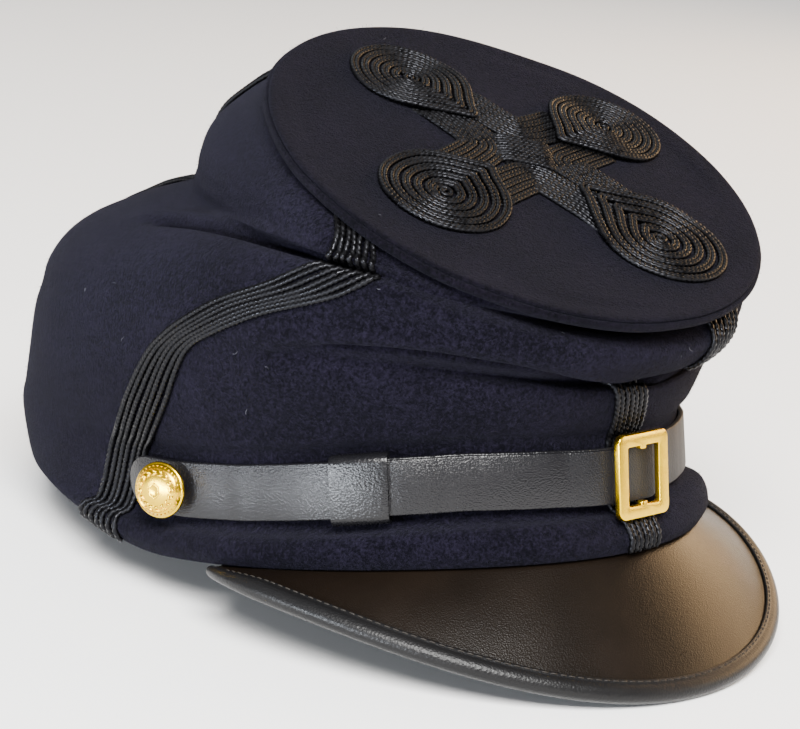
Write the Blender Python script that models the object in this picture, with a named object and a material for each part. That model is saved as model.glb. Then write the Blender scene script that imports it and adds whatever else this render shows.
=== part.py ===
"""A wool forage cap (kepi) with a leather peak, a chin strap, brass fittings and black braid.

Lengths are in millimetres in the cap's own frame: the wearer faces -Y, the wearer's right is -X,
and the hem's plane is z = 0. An angle round the cap is 0 at the front and grows to the wearer's right.
The whole cap hangs from one empty, tipped back so that it stands on the peak and on the hem's back.
"""

import math

import bmesh
import bpy
from mathutils import Matrix, Vector

MM = 0.001
GAP = 0.3  # kept between pieces that touch
CENTRE_Y = -1.4  # moves the cap so that the middle of its length is over the origin

# Wool crown
WOOL = 2.0
ROUND_SIDES = 52
LEAN = math.radians(3.2)  # the top is lower on the wearer's right
# Each row is a closed oval: its front point, its widest point and its back point. Then the front
# quarters and the back quarters are pushed outward and raised. "lean" is the row's share of LEAN.
CROWN_COLUMNS = (
    "name", "front_y", "front_z", "side_x", "side_y", "side_z", "back_y", "back_z",
    "front_out", "front_rise", "back_out", "back_rise", "lean",
)
CROWN_ROWS = (
    ("hem", -103.9, 0.0, 85.9, 0.0, -3.2, 104.5, -3.5, 0, 1.2, 0, 7.6, 0.0),
    ("hem_roll", -105.0, 4.0, 87.6, 0.0, 0.6, 113.0, 1.0, 0.4, 1.4, 3.2, 6.6, 0.0),
    ("strap_foot", -101.4, 9.5, 86.0, 1.0, 4.2, 120.0, 8.0, 1.2, 2.6, 6.4, 4.2, 0.0),
    ("strap_low", -97.0, 13.0, 81.5, 2.0, 8.0, 125.0, 15.0, -1.6, 3.5, 10.0, 2.0, 0.0),
    ("strap_high", -96.5, 30.0, 81.0, 4.0, 25.5, 128.6, 31.0, -1.6, 3.5, 10.5, 0, 0.0),
    ("wall_foot", -99.5, 35.5, 84.5, 3.5, 32.5, 127.6, 40.0, -0.4, 3.5, 8.0, 0, 0.1),
    ("wall_mid", -102.0, 41.0, 88.0, 1.0, 44.0, 126.0, 51.0, -0.5, 3.0, 5.5, 0, 0.2),
    ("fold2_lip", -103.5, 46.0, 90.0, -3.0, 57.0, 123.4, 62.0, 0, 4.0, 4.0, 0, 0.2),
    ("fold2_valley", -100.4, 48.9, 90.6, -7.0, 64.0, 120.4, 70.0, -1.5, 4.0, 3.0, 0, 0.3),
    ("roll_low", -110.0, 50.0, 90.6, -12.0, 69.5, 117.5, 77.0, 0, 4.5, 2.0, 0, 0.3),
    ("roll_out", -116.5, 55.5, 89.3, -19.0, 77.0, 110.2, 85.0, -2.0, 4.0, 1.0, 0, 0.4),
    ("roll_top", -114.5, 60.5, 86.5, -29.0, 83.5, 99.0, 92.0, 0, 4.5, 0, 0, 0.5),
    ("fold1_lip", -111.0, 62.4, 82.0, -40.0, 88.5, 82.0, 97.5, 0, 4.5, 0, 0, 0.6),
    ("fold1_valley", -106.0, 63.0, 77.0, -49.0, 90.0, 61.0, 100.0, -1.0, 4.5, 0, 0, 0.7),
    ("collar_low", -109.0, 64.2, 77.5, -53.0, 93.0, 56.5, 106.0, 0, 3.5, 0.5, 0, 0.8),
    ("collar_mid", -112.5, 64.7, 77.5, -55.0, 96.0, 54.0, 115.0, 0, 2.5, 1.0, -0.5, 0.9),
    ("collar_high", -115.5, 65.2, 76.0, -56.0, 99.0, 47.0, 125.0, 0, 1.0, 1.5, -2.0, 1.0),
    ("collar_top", -118.0, 65.4, 73.5, -55.5, 101.5, 33.0, 133.5, 0, 0.3, 0, -4.0, 1.0),
)
SETTLE = 2.4  # the hem's back lies flat where it would come closer than this to the surface
PRESSED_ROOM = (5.8, 12.0)  # from fold to disc: the collar is pressed flat, or stands free
PRESSED_SEAT = 4.5  # the seat is wider by this where the collar is pressed flat
SEAT_STEP = 0.05
LIP_SHARE = 1.5  # the wool is bunched thicker than elsewhere behind the folds' lips
CREVICE_STEP = 0.55  # each row from the disc down lies at least this much further under it

# Tilted disc
DISC_CENTRE = Vector((0.3, -56.3, 105.1))
DISC_PITCH = math.radians(30.7)
DISC_HALF_LENGTH = 77.3
DISC_HALF_WIDTH = 74.0
DISC_SIDES = 60
RIM_INSET = 3.0  # from the disc's edge to the crown's outer face under it
# A profile across the disc, from its top centre round the rolled rim: inset from the edge, height.
DISC_PROFILE = (
    (5.0, 1.2),
    (2.2, 1.6),
    (0.6, 0.8),
    (0.0, -0.5),
    (0.7, -1.9),
    (2.4, -2.6),
    (6.0, -2.6),
    (8.0, -1.8),
)
DISC_DENT = 2.6  # the disc's far left edge is pressed in by this
DISC_DENT_ANGLE = math.radians(-137.0)
DISC_DENT_SPREAD = math.radians(20.0)
RIM_FOOT = -2.6  # height of the disc's seat on the crown, from its mid plane

# Leather peak
VISOR_HALF_ANGLE = math.radians(80.5)
VISOR_REACH = 24.0  # out from the hem at the front
VISOR_DROP = 37.3  # down from the hem at the front
VISOR_REACH_POWER = 0.44
VISOR_DROP_POWER = 1.83
VISOR_THICK = 2.0
VISOR_TAB = 4.0  # height of the sewn edge that stands up inside the hem
VISOR_CAMBER = 2.0  # how far the peak bows upward between hem and edge
VISOR_TIP_DROP = 1.4  # its two ends slip this far below the hem
VISOR_END = math.radians(14.0)  # over this angle its ends grow thinner
VISOR_END_SHARE = 0.55
VISOR_MARGIN = 1.7  # kept back from the outline for the binding
VISOR_SPAN = 42
VISOR_DEPTH = 4
# Half of the binding's section: distance outside the peak's edge, and height over its mid plane.
BINDING_OUTER = ((-4.6, 2.0), (-2.6, 2.7), (0.2, 2.4), (1.5, 1.2))
BINDING_SLOT = ((0.0 + GAP, 1.3), (-4.6, 1.3))

# Chin strap
STRAP_WIDTH = 16.0
STRAP_THICK = 1.6
STRAP_SPAN = 44
STRAP_END = math.radians(93.4)
BUTTON_ANGLE = math.radians(88.4)
LAP_STEPS = (21, 35)  # the strap's second layer covers these steps of its length
LAP_THICK = 1.4
KEEPER_MID = math.radians(53.2)
KEEPER_WIDTH = 16.4
KEEPER_HEIGHT = 19.6
KEEPER_THICK = 1.3
KEEPER_STAND = 1.0  # off the wool
BUCKLE_MID = math.radians(0.6)
BUCKLE_WIDTH = 20.4
BUCKLE_HEIGHT = 24.0
BUCKLE_BORDER = 3.8
BUCKLE_THICK = 2.2
BUCKLE_STAND = 1.0  # off the strap, over the hem's roll and the braid
BUTTON_RADIUS = 8.0
BUTTON_DOME = 4.2
BUTTON_TURN = math.radians(18.0)  # the shank lets the button turn to the front
BUTTON_SIDES = 18
SHANK_RADIUS = 2.2

# Braid bands
BRAID_THICK = 1.5
BRAID_LIFT = 0.5  # off the crown's facets
BRAID_FOOT = 0.3  # a braid starts this share of a row above the hem
BRAID_FRONT_LOW = math.radians(0.3)  # the front braid's middle where the strap crosses it
# Each band's two edges over the crown, in degrees at each row. The folds hide where two bands join.
BRAIDS = {
    "braid_front_low": (
        ("hem", 4.5, -4.0), ("strap_high", 4.8, -4.0), ("fold2_lip", 7.3, -1.0),
    ),
    "braid_front_high": (
        ("roll_low", -9.5, -20.0), ("roll_out", -10.0, -22.0), ("roll_top", -11.0, -23.0),
    ),
    "braid_right_low": (
        ("hem", 116.0, 102.0), ("strap_foot", 111.5, 101.0), ("strap_low", 107.8, 99.0),
        ("strap_high", 103.3, 94.3), ("wall_foot", 100.5, 91.0), ("wall_mid", 97.0, 87.0),
        ("fold2_lip", 92.5, 84.4), ("fold2_valley", 90.2, 82.8), ("roll_low", 88.3, 79.8),
        ("roll_out", 85.2, 74.5), ("roll_top", 81.5, 66.5), ("fold1_lip", 81.5, 66.0),
    ),
    "braid_right_high": (("collar_low", 84.0, 71.5), ("collar_top", 87.0, 74.0)),
    "braid_left_low": (
        ("hem", -104.0, -114.0), ("strap_low", -102.0, -111.0), ("strap_high", -98.0, -106.5),
        ("roll_out", -98.0, -106.0), ("roll_top", -99.5, -108.0), ("fold1_lip", -101.0, -110.5),
    ),
    "braid_left_high": (("collar_low", -101.0, -112.0), ("collar_top", -102.0, -113.5)),
    "braid_back_low": (
        ("hem_roll", 184.5, 175.5), ("fold2_lip", 181.0, 172.0), ("roll_out", 178.0, 169.0),
        ("fold1_lip", 172.0, 162.5),
    ),
    "braid_back_high": (("collar_low", 171.5, 161.0), ("collar_top", 172.5, 160.5)),
}

# Knot on the disc
KNOT_FORWARD = -3.6  # the knot's middle, from the disc's middle
KNOT_RIGHT = -6.2
KNOT_THICK = 1.7
KNOT_RADIUS = 20.0
KNOT_TIP = 21.4  # from the knot's middle to each lobe's tip
KNOT_SIDES = 28
LOBE_NARROW = 0.45  # a lobe is narrower by this share at its tip
# Each lobe: its direction in degrees, from the front to the wearer's right, then how far its round
# part's middle is from the knot's middle, and that part's radius.
LOBES = (
    ("front", -14.1, 48.6, 20.4),
    ("right", 74.6, 43.8, 19.4),
    ("back", 167.3, 44.0, 18.6),
    ("left", 260.9, 40.3, 18.2),
)


def row_index(name):
    return float([row[0] for row in CROWN_ROWS].index(name))


def blended_row(place):
    """The crown's row at a fractional index, by a Catmull-Rom curve through each column."""
    last = len(CROWN_ROWS) - 1
    start = min(int(place), last - 1)
    share = place - start
    around = [CROWN_ROWS[min(max(start + step, 0), last)] for step in (-1, 0, 1, 2)]
    row = {}
    for column, name in enumerate(CROWN_COLUMNS[1:], 1):
        a, b, c, d = (entry[column] for entry in around)
        row[name] = 0.5 * (
            2 * b
            + (c - a) * share
            + (2 * a - 5 * b + 4 * c - d) * share**2
            + (3 * b - a - 3 * c + d) * share**3
        )
    return row


def through_three(front, side, back, cosine):
    """A smooth value round an oval with these values at its front, side and back."""
    return side + (front - back) / 2 * cosine + ((front + back) / 2 - side) * cosine**2


def table_point(place, angle):
    """A point of the crown's outer face as its rows give it."""
    row = blended_row(place)
    cosine = math.cos(angle)
    half = "front" if cosine > 0 else "back"
    quarter = math.sin(2 * angle) ** 2
    out = row[half + "_out"] * quarter
    x = -row["side_x"] * math.sin(angle) - out * math.sin(angle)
    y = through_three(row["front_y"], row["side_y"], row["back_y"], cosine) - out * cosine
    z = through_three(row["front_z"], row["side_z"], row["back_z"], cosine)
    z += row[half + "_rise"] * quarter + x * math.tan(LEAN) * row["lean"]
    return tucked_under_disc(Vector((x, y, z)), place)


def tucked_under_disc(point, place):
    """Eases a point of the fold and the collar down where it would come too near to the disc."""
    frame = disc_matrix()
    local = frame.inverted() @ point
    limit = RIM_FOOT - GAP - CREVICE_STEP * (len(CROWN_ROWS) - place)
    over = max(-30.0, local.z - limit)
    if place < row_index("roll_out") or over < -6:
        return point
    local.z -= math.log(1 + math.exp(over))
    return frame @ local


def seat_point(angle, width=0.0):
    """A point of the ring on which the disc sits, at its outer edge or this much further in."""
    return disc_edge(angle, RIM_INSET + width, RIM_FOOT - GAP)


def collar_freedom(angle):
    """0 where the wool between the upper fold and the disc is pressed flat, 1 where it stands free."""
    valley = disc_matrix().inverted() @ table_point(row_index("fold1_valley"), angle)
    return eased(RIM_FOOT - GAP - valley.z, *PRESSED_ROOM)


def crown_point(place, angle):
    """A point of the crown's outer face: place is a row index, and the disc's seat is the last."""
    valley = row_index("fold1_valley")
    if place <= valley:
        return table_point(place, angle)
    seat = seat_point(angle)
    last = len(CROWN_ROWS) - 1
    share = (place - valley) / (last + 1 - valley)
    pressed = table_point(valley, angle).lerp(seat, share)
    free = table_point(min(place, last), angle).lerp(seat, max(0.0, place - last))
    return pressed.lerp(free, collar_freedom(angle))


def crown_normal(place, angle):
    step = 0.02
    last = len(CROWN_ROWS)
    around = crown_point(place, angle + step) - crown_point(place, angle - step)
    low = max(place - step, 0.0)
    high = min(place + step, last)
    along = crown_point(high, angle) - crown_point(low, angle)
    return along.cross(around).normalized()


def disc_matrix():
    """The disc's frame: X to the wearer's left, -Y to its low front edge, Z out of its top."""
    tilt = Matrix.Rotation(DISC_PITCH, 4, "X")
    lean = Matrix.Rotation(-LEAN, 4, "Y")
    return Matrix.Translation(DISC_CENTRE) @ tilt @ lean


def disc_edge(angle, inset, height):
    """A point near the disc's edge, in the cap's frame."""
    offset = math.remainder(angle - DISC_DENT_ANGLE, 2 * math.pi) / DISC_DENT_SPREAD
    inset += DISC_DENT * math.exp(-(offset**2))
    x = -(DISC_HALF_WIDTH - inset) * math.sin(angle)
    y = -(DISC_HALF_LENGTH - inset) * math.cos(angle)
    return disc_matrix() @ Vector((x, y, height))


def rest_line():
    """The slope and the height at y = 0 of the surface that the cap stands on, in the cap's frame."""
    hem = crown_point(0, math.pi)
    slope = max((hem.z - point.z) / (hem.y - point.y) for point in binding_ring(0.0))
    return slope, hem.z - slope * hem.y


def hem_point(angle):
    return crown_point(0, angle)


def hem_outward(angle):
    step = 0.01
    along = hem_point(angle + step) - hem_point(angle - step)
    return Vector((along.y, -along.x, 0)).normalized() * -1


def visor_edge(angle):
    share = max(0.0, 1 - (angle / VISOR_HALF_ANGLE) ** 2)
    reach = VISOR_REACH * share**VISOR_REACH_POWER
    drop = VISOR_DROP * share**VISOR_DROP_POWER + VISOR_TIP_DROP * (1 - share) ** 3
    return hem_point(angle) + hem_outward(angle) * reach - Vector((0, 0, drop))


def clear_scene():
    for old in list(bpy.data.objects):
        bpy.data.objects.remove(old, do_unlink=True)


def material(name, colour, roughness, metallic=0.0):
    made = bpy.data.materials.new(name)
    made.use_nodes = True
    shader = made.node_tree.nodes["Principled BSDF"]
    shader.inputs["Base Color"].default_value = (*colour, 1)
    shader.inputs["Roughness"].default_value = roughness
    shader.inputs["Metallic"].default_value = metallic
    return made


def add_piece(name, mesh_data, finish, parent, sharp_angle=50.0):
    """Closes a bmesh in millimetres into an object in metres, with its faces pointing out."""
    bmesh.ops.recalc_face_normals(mesh_data, faces=mesh_data.faces)
    if mesh_data.calc_volume(signed=True) < 0:
        bmesh.ops.reverse_faces(mesh_data, faces=mesh_data.faces)
    bmesh.ops.scale(mesh_data, vec=(MM, MM, MM), verts=mesh_data.verts)
    mesh = bpy.data.meshes.new(name)
    mesh_data.to_mesh(mesh)
    mesh_data.free()
    mesh.shade_smooth()
    mesh.set_sharp_from_angle(angle=math.radians(sharp_angle))
    mesh.materials.append(finish)
    piece = bpy.data.objects.new(name, mesh)
    bpy.context.scene.collection.objects.link(piece)
    piece.parent = parent
    return piece


def loft(mesh_data, rings, closed_rings=True, closed_length=False):
    """Faces between successive rings of points, and caps on the two ends if the length is open."""
    vertices = [[mesh_data.verts.new(point) for point in ring] for ring in rings]
    count = len(rings[0])
    steps = len(rings) if closed_length else len(rings) - 1
    for index in range(steps):
        lower = vertices[index]
        upper = vertices[(index + 1) % len(rings)]
        for side in range(count if closed_rings else count - 1):
            after = (side + 1) % count
            mesh_data.faces.new((lower[side], lower[after], upper[after], upper[side]))
    if closed_rings and not closed_length:
        mesh_data.faces.new(vertices[0])
        mesh_data.faces.new(vertices[-1])
    return vertices


def settled(point):
    """The hem lies flat where it would otherwise come closer than this to the surface below."""
    slope, height = rest_line()
    floor = height + slope * point.y
    if point.z - floor < SETTLE and point.y > 0:
        return Vector((point.x, point.y, floor))
    return point


def kept_below_disc(point, seat):
    frame = disc_matrix()
    local = frame.inverted() @ point
    local.z = min(local.z, seat)
    return frame @ local


def crown_inner(place, angle):
    """A point of the crown's inner face, the wool's thickness behind the outer one."""
    valley = row_index("fold1_valley")
    last = len(CROWN_ROWS)
    if place == last:
        free = seat_point(angle, WOOL)
    else:
        bunched = place in (row_index("fold1_lip"), row_index("fold2_lip"))
        thick = WOOL * (LIP_SHARE if bunched else 1.0)
        free = crown_point(place, angle) - crown_normal(place, angle) * thick
    if place < valley:
        return free
    tip = crown_point(valley, angle) - hem_outward(angle) * WOOL * LIP_SHARE
    end = seat_point(angle, WOOL + PRESSED_SEAT)
    pressed = tip.lerp(end, (place - valley) / (last - valley))
    return pressed.lerp(free, collar_freedom(angle))


def make_crown(wool, parent):
    mesh_data = bmesh.new()
    angles = [2 * math.pi * step / ROUND_SIDES for step in range(ROUND_SIDES)]
    last = len(CROWN_ROWS)
    outer = [[crown_point(place, angle) for angle in angles] for place in range(last + 1)]
    inner = [[crown_inner(place, angle) for angle in angles] for place in range(last + 1)]
    outer[0] = [settled(point) for point in outer[0]]
    inner[0] = [
        settled(point - hem_outward(angle) * WOOL) for point, angle in zip(outer[0], angles)
    ]
    for place in range(1, last):
        limit = RIM_FOOT - GAP - SEAT_STEP * (last - place)
        inner[place] = [kept_below_disc(point, limit) for point in inner[place]]
    loft(mesh_data, outer + inner[::-1], closed_length=True)
    return add_piece("crown", mesh_data, wool, parent)


def make_disc(wool, parent):
    mesh_data = bmesh.new()
    rings = []
    for inset, height in DISC_PROFILE:
        ring = []
        for step in range(DISC_SIDES):
            ring.append(disc_edge(2 * math.pi * step / DISC_SIDES, inset, height))
        rings.append(ring)
    loft(mesh_data, rings)
    return add_piece("disc", mesh_data, wool, parent)


def visor_grid_point(angle, share):
    """A point of the peak's mid surface: share is 0 under the hem and 1 at the outer edge."""
    root = hem_point(angle) - Vector((0, 0, GAP + VISOR_THICK / 2))
    root -= hem_outward(angle) * WOOL
    along = visor_edge(angle) - root
    along *= 1 - VISOR_MARGIN / max(along.length, 3 * VISOR_MARGIN)
    camber = VISOR_CAMBER * math.sin(math.pi * share) * (1 - (angle / VISOR_HALF_ANGLE) ** 2)
    return root + along * share + Vector((0, 0, camber))


def visor_size(angle):
    """The share of its full thickness that the peak has at an angle."""
    free = eased(VISOR_HALF_ANGLE - abs(angle), 0.0, VISOR_END)
    return VISOR_END_SHARE + (1 - VISOR_END_SHARE) * free


def visor_normal(angle, share):
    step = 0.01
    around = visor_grid_point(angle + step, share) - visor_grid_point(angle - step, share)
    along = visor_grid_point(angle, share + step) - visor_grid_point(angle, share - step)
    normal = around.cross(along).normalized()
    return normal if normal.z > 0 else -normal


def visor_angles():
    last = VISOR_HALF_ANGLE * 0.985
    return [last * (2 * step / VISOR_SPAN - 1) for step in range(VISOR_SPAN + 1)]


def make_visor(leather, parent):
    mesh_data = bmesh.new()
    rings = []
    for angle in visor_angles():
        inward = hem_outward(angle) * -1
        seam = hem_point(angle) + inward * (WOOL + GAP)
        top = [seam + Vector((0, 0, VISOR_TAB)), seam - Vector((0, 0, GAP))]
        bottom = [point + inward * VISOR_THICK for point in top]
        for step in range(VISOR_DEPTH + 1):
            share = step / VISOR_DEPTH
            middle = visor_grid_point(angle, share)
            half = visor_normal(angle, share) * (VISOR_THICK / 2 * visor_size(angle))
            top.append(middle + half)
            bottom.append(middle - half)
        rings.append(top + bottom[::-1])
    loft(mesh_data, rings)
    return add_piece("visor", mesh_data, leather, parent)


def binding_ring(angle):
    """The binding's C-shaped section round the peak's edge."""
    step = 0.01
    edge = visor_grid_point(angle, 1.0)
    along = visor_grid_point(angle + step, 1.0) - visor_grid_point(angle - step, 1.0)
    normal = visor_normal(angle, 1.0)
    outward = normal.cross(along).normalized()
    if outward.dot(hem_outward(angle)) < 0:
        outward = -outward
    size = visor_size(angle)
    section = list(BINDING_OUTER) + [(out, -up) for out, up in BINDING_OUTER[::-1]]
    section += [(out, -up) for out, up in BINDING_SLOT[::-1]] + list(BINDING_SLOT)
    return [edge + outward * out * size + normal * up * size for out, up in section]


def make_binding(leather, parent):
    mesh_data = bmesh.new()
    loft(mesh_data, [binding_ring(angle) for angle in visor_angles()])
    return add_piece("visor_binding", mesh_data, leather, parent)


def crown_face(place, angle):
    """A point on the crown's flat facets between two of its rows."""
    low = min(int(place), len(CROWN_ROWS) - 1)
    return crown_point(low, angle).lerp(crown_point(low + 1, angle), place - low)


def eased(value, start, end):
    """0 before start, 1 after end, and smooth between."""
    share = min(max((value - start) / (end - start), 0.0), 1.0)
    return share * share * (3 - 2 * share)


def groove_frame(angle, lift=0.0):
    """The strap groove's frame at an angle: a point at the strap's mid height, the direction back
    round the cap, the direction up the wall and the outward direction."""
    low = crown_point(row_index("strap_low"), angle)
    high = crown_point(row_index("strap_high"), angle)
    upward = (high - low).normalized()
    step = 0.01
    after = crown_point(row_index("strap_low"), angle + step)
    around = (after - low).normalized()
    outward = around.cross(upward).normalized()
    if outward.dot(Vector((low.x, low.y, 0))) < 0:
        outward = -outward
    middle = (low + high) / 2
    return middle + outward * lift, around, upward, outward


def strap_lift(angle):
    """How far the strap's inner face stands off the groove: it rides over braids and the keeper."""
    ramp = math.radians(5.0)
    over_braid = BRAID_THICK + BRAID_LIFT
    front = 1 - eased(abs(angle - BRAID_FRONT_LOW), ramp, 2 * ramp)
    side = eased(abs(angle), math.radians(84.0), math.radians(90.0))
    keeper = 1 - eased(abs(angle - KEEPER_MID), 1.1 * ramp, 2.2 * ramp)
    return GAP + over_braid * max(front, side) + (KEEPER_THICK + KEEPER_STAND) * keeper


def strap_rings(first, last, lift, thick, width):
    """Rectangular sections of a strap layer between two steps of the strap's length."""
    rings = []
    for step in range(first, last + 1):
        angle = STRAP_END * (2 * step / STRAP_SPAN - 1)
        middle, around, upward, outward = groove_frame(angle, strap_lift(angle) + lift)
        half = width / 2
        bevel = 0.3
        section = (
            (-half, bevel), (-half + bevel, 0), (half - bevel, 0), (half, bevel),
            (half, thick - bevel), (half - bevel, thick), (bevel - half, thick), (-half, thick - bevel),
        )
        rings.append([middle + upward * up + outward * out for up, out in section])
    return rings


def rounded_end(section, angle, width, direction):
    """Sections that close a strap layer with a half round end past the given angle."""
    around, upward = groove_frame(angle)[1:3]
    centre = sum(section, Vector()) / len(section)
    made = []
    for step in (30, 55, 75, 88):
        turn = math.radians(step)
        shift = around * direction * width / 2 * math.sin(turn)
        ring = []
        for point in section:
            across = (point - centre).dot(upward)
            ring.append(point - upward * across * (1 - math.cos(turn)) + shift)
        made.append(ring)
    return made


def make_strap(leather, parent):
    mesh_data = bmesh.new()
    rings = strap_rings(0, STRAP_SPAN, 0.0, STRAP_THICK, STRAP_WIDTH)
    left_end = rounded_end(rings[0], -STRAP_END, STRAP_WIDTH, -1)
    right_end = rounded_end(rings[-1], STRAP_END, STRAP_WIDTH, 1)
    loft(mesh_data, left_end[::-1] + rings + right_end)
    return add_piece("chin_strap", mesh_data, leather, parent)


def make_lap(leather, parent):
    mesh_data = bmesh.new()
    lift = STRAP_THICK + GAP
    loft(mesh_data, strap_rings(*LAP_STEPS, lift, LAP_THICK, STRAP_WIDTH - 0.6))
    return add_piece("chin_strap_lap", mesh_data, leather, parent)


def make_keeper(leather, parent):
    """A leather loop round both layers of the strap."""
    mesh_data = bmesh.new()
    inside = STRAP_THICK + LAP_THICK + 3 * GAP
    half_angle = KEEPER_WIDTH / 2 / 97.0
    outer = []
    inner = []
    for step in range(5):
        angle = KEEPER_MID + half_angle * (step / 2 - 1)
        middle, around, upward, outward = groove_frame(angle, strap_lift(angle) - GAP)
        for rings, grow, near, far in ((outer, KEEPER_THICK, 1.8, 1.0), (inner, 0.0, 0.2, 0.2)):
            half = KEEPER_HEIGHT / 2 - KEEPER_THICK + grow
            low = -grow
            high = inside + grow
            section = (
                (-half, low + near), (-half + near, low), (half - near, low), (half, low + near),
                (half, high - far), (half - far, high), (far - half, high), (-half, high - far),
            )
            rings.append([middle + upward * up + outward * out for up, out in section])
    loft(mesh_data, outer + inner[::-1], closed_length=True)
    return add_piece("strap_keeper", mesh_data, leather, parent)


def slide_loop(half_width, half_height, corner, nub):
    """A rounded rectangle with a small nub pointing inward at the middle of its top and bottom."""
    points = []
    for turn in range(4):
        across = half_width - corner if turn in (0, 3) else corner - half_width
        up = half_height - corner if turn in (0, 1) else corner - half_height
        for step in range(5):
            angle = math.radians(90 * turn + 22.5 * step)
            points.append((across + corner * math.cos(angle), up + corner * math.sin(angle)))
        if turn in (0, 2):
            side = 1 if turn == 0 else -1
            reach = half_height * side
            tip = (half_height - nub) * side
            for across in (1.9, 1.5, -1.5, -1.9):
                height = tip if abs(across) < 1.6 else reach
                points.append((across * side, height))
    return points


def make_buckle(brass, parent):
    mesh_data = bmesh.new()
    lift = strap_lift(BUCKLE_MID) + STRAP_THICK + LAP_THICK + 2 * GAP + BUCKLE_STAND
    middle, around, upward, outward = groove_frame(BUCKLE_MID, lift)
    half_width = BUCKLE_WIDTH / 2
    half_height = BUCKLE_HEIGHT / 2
    bevel = 0.5
    loops = (
        (0.0, bevel, 0.0), (0.0, 0.0, bevel), (0.0, 0.0, BUCKLE_THICK - bevel),
        (0.0, bevel, BUCKLE_THICK), (BUCKLE_BORDER, -bevel, BUCKLE_THICK),
        (BUCKLE_BORDER, 0.0, BUCKLE_THICK - bevel), (BUCKLE_BORDER, 0.0, bevel),
        (BUCKLE_BORDER, -bevel, 0.0),
    )
    rings = []
    for border, inset, height in loops:
        corner = 2.6 - bevel if border == 0.0 else 0.9
        nub = 0.0 if border == 0.0 else 1.2
        shrink = border + inset
        loop_points = slide_loop(half_width - shrink, half_height - shrink, corner, nub)
        rings.append(
            [middle + around * x + upward * y + outward * height for x, y in loop_points]
        )
    loft(mesh_data, rings, closed_length=True)
    return add_piece("strap_buckle", mesh_data, brass, parent, 35.0)


def make_button(name, side, brass, parent):
    """A domed button on a short shank; side is 1 on the wearer's right and -1 on the left."""
    mesh_data = bmesh.new()
    angle = BUTTON_ANGLE * side
    shank = BUTTON_RADIUS * math.sin(BUTTON_TURN)
    lift = strap_lift(angle) + STRAP_THICK + GAP + SHANK_RADIUS * math.sin(BUTTON_TURN)
    foot, around, upward, outward = groove_frame(angle, lift)
    turned = Matrix.Rotation(BUTTON_TURN * side, 3, upward)
    axis = turned @ outward
    flat = turned @ around
    profile = (
        (SHANK_RADIUS, 0.0), (SHANK_RADIUS, shank), (7.2, shank), (8.0, shank + 0.5),
        (8.0, shank + 1.2), (7.3, shank + 1.6), (6.4, shank + 2.2), (5.0, shank + 3.1),
        (3.2, shank + 3.8), (1.2, shank + BUTTON_DOME),
    )
    rings = []
    for radius, height in profile:
        ring = []
        for step in range(BUTTON_SIDES):
            turn = 2 * math.pi * step / BUTTON_SIDES
            across = flat * math.cos(turn) + upward * math.sin(turn)
            ring.append(foot + across * radius + axis * height)
        rings.append(ring)
    loft(mesh_data, rings)
    return add_piece(name, mesh_data, brass, parent)


def braid_edges(table, place):
    """The angles of a braid's two edges at a crown row, read from its table."""
    for (start, *low), (end, *high) in zip(table, table[1:]):
        first = row_index(start)
        last = row_index(end)
        if first <= place <= last:
            share = (place - first) / (last - first)
            return [math.radians(a + (b - a) * share) for a, b in zip(low, high)]
    raise ValueError("no braid at this row")


def make_braid(name, table, finish, parent):
    """A band of braid laid on the crown between two edges; its ends turn in toward the wool."""
    mesh_data = bmesh.new()
    first = row_index(table[0][0])
    last = row_index(table[-1][0])
    rings = []
    for place in range(int(first), int(last) + 1):
        row = max(place, BRAID_FOOT)
        low, high = braid_edges(table, row)
        top = []
        bottom = []
        for share in (0.0, 0.12, 0.5, 0.88, 1.0):
            angle = low + (high - low) * share
            point = crown_face(row, angle)
            outward = crown_normal(row, angle)
            height = BRAID_THICK * (0.5 if share in (0.0, 1.0) else 1.0)
            bottom.append(point + outward * BRAID_LIFT)
            top.append(point + outward * (BRAID_LIFT + height))
        rings.append(top + bottom[::-1])
    loft(mesh_data, rings)
    return add_piece(name, mesh_data, finish, parent)


def knot_point(along, across, height, turn):
    """A point on the disc, along a direction from the knot's middle and to the right of it."""
    forward = KNOT_FORWARD + along * math.cos(turn) - across * math.sin(turn)
    right = KNOT_RIGHT + along * math.sin(turn) + across * math.cos(turn)
    return disc_matrix() @ Vector((-right, -forward, height))


def make_pad(name, outline, turn, finish, parent):
    """A low pad of braid on the disc with a bevelled top edge; outline is (along, across)."""
    mesh_data = bmesh.new()
    foot = DISC_PROFILE[0][1] + GAP
    centre_along = sum(point[0] for point in outline) / len(outline)
    centre_across = sum(point[1] for point in outline) / len(outline)
    rings = []
    for shrink, height in ((0.0, 0.0), (0.0, 0.6), (0.04, 1.0)):
        ring = []
        for along, across in outline:
            along += (centre_along - along) * shrink
            across += (centre_across - across) * shrink
            ring.append(knot_point(along, across, foot + KNOT_THICK * height, turn))
        rings.append(ring)
    loft(mesh_data, rings)
    return add_piece(name, mesh_data, finish, parent)


def make_knot(finish, parent):
    turns = [2 * math.pi * step / KNOT_SIDES for step in range(KNOT_SIDES)]
    for name, degrees, distance, radius in LOBES:
        lobe = []
        for turn in turns:
            outward = math.cos(turn)
            reach = radius if outward > 0 else distance - KNOT_TIP
            narrow = 1 - LOBE_NARROW * eased(-outward, 0.2, 1.0)
            lobe.append((distance + reach * outward, radius * narrow * math.sin(turn)))
        make_pad("knot_lobe_" + name, lobe, math.radians(degrees), finish, parent)
    centre = [(KNOT_RADIUS * math.cos(turn), KNOT_RADIUS * math.sin(turn)) for turn in turns]
    make_pad("knot_centre", centre, 0.0, finish, parent)


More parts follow.
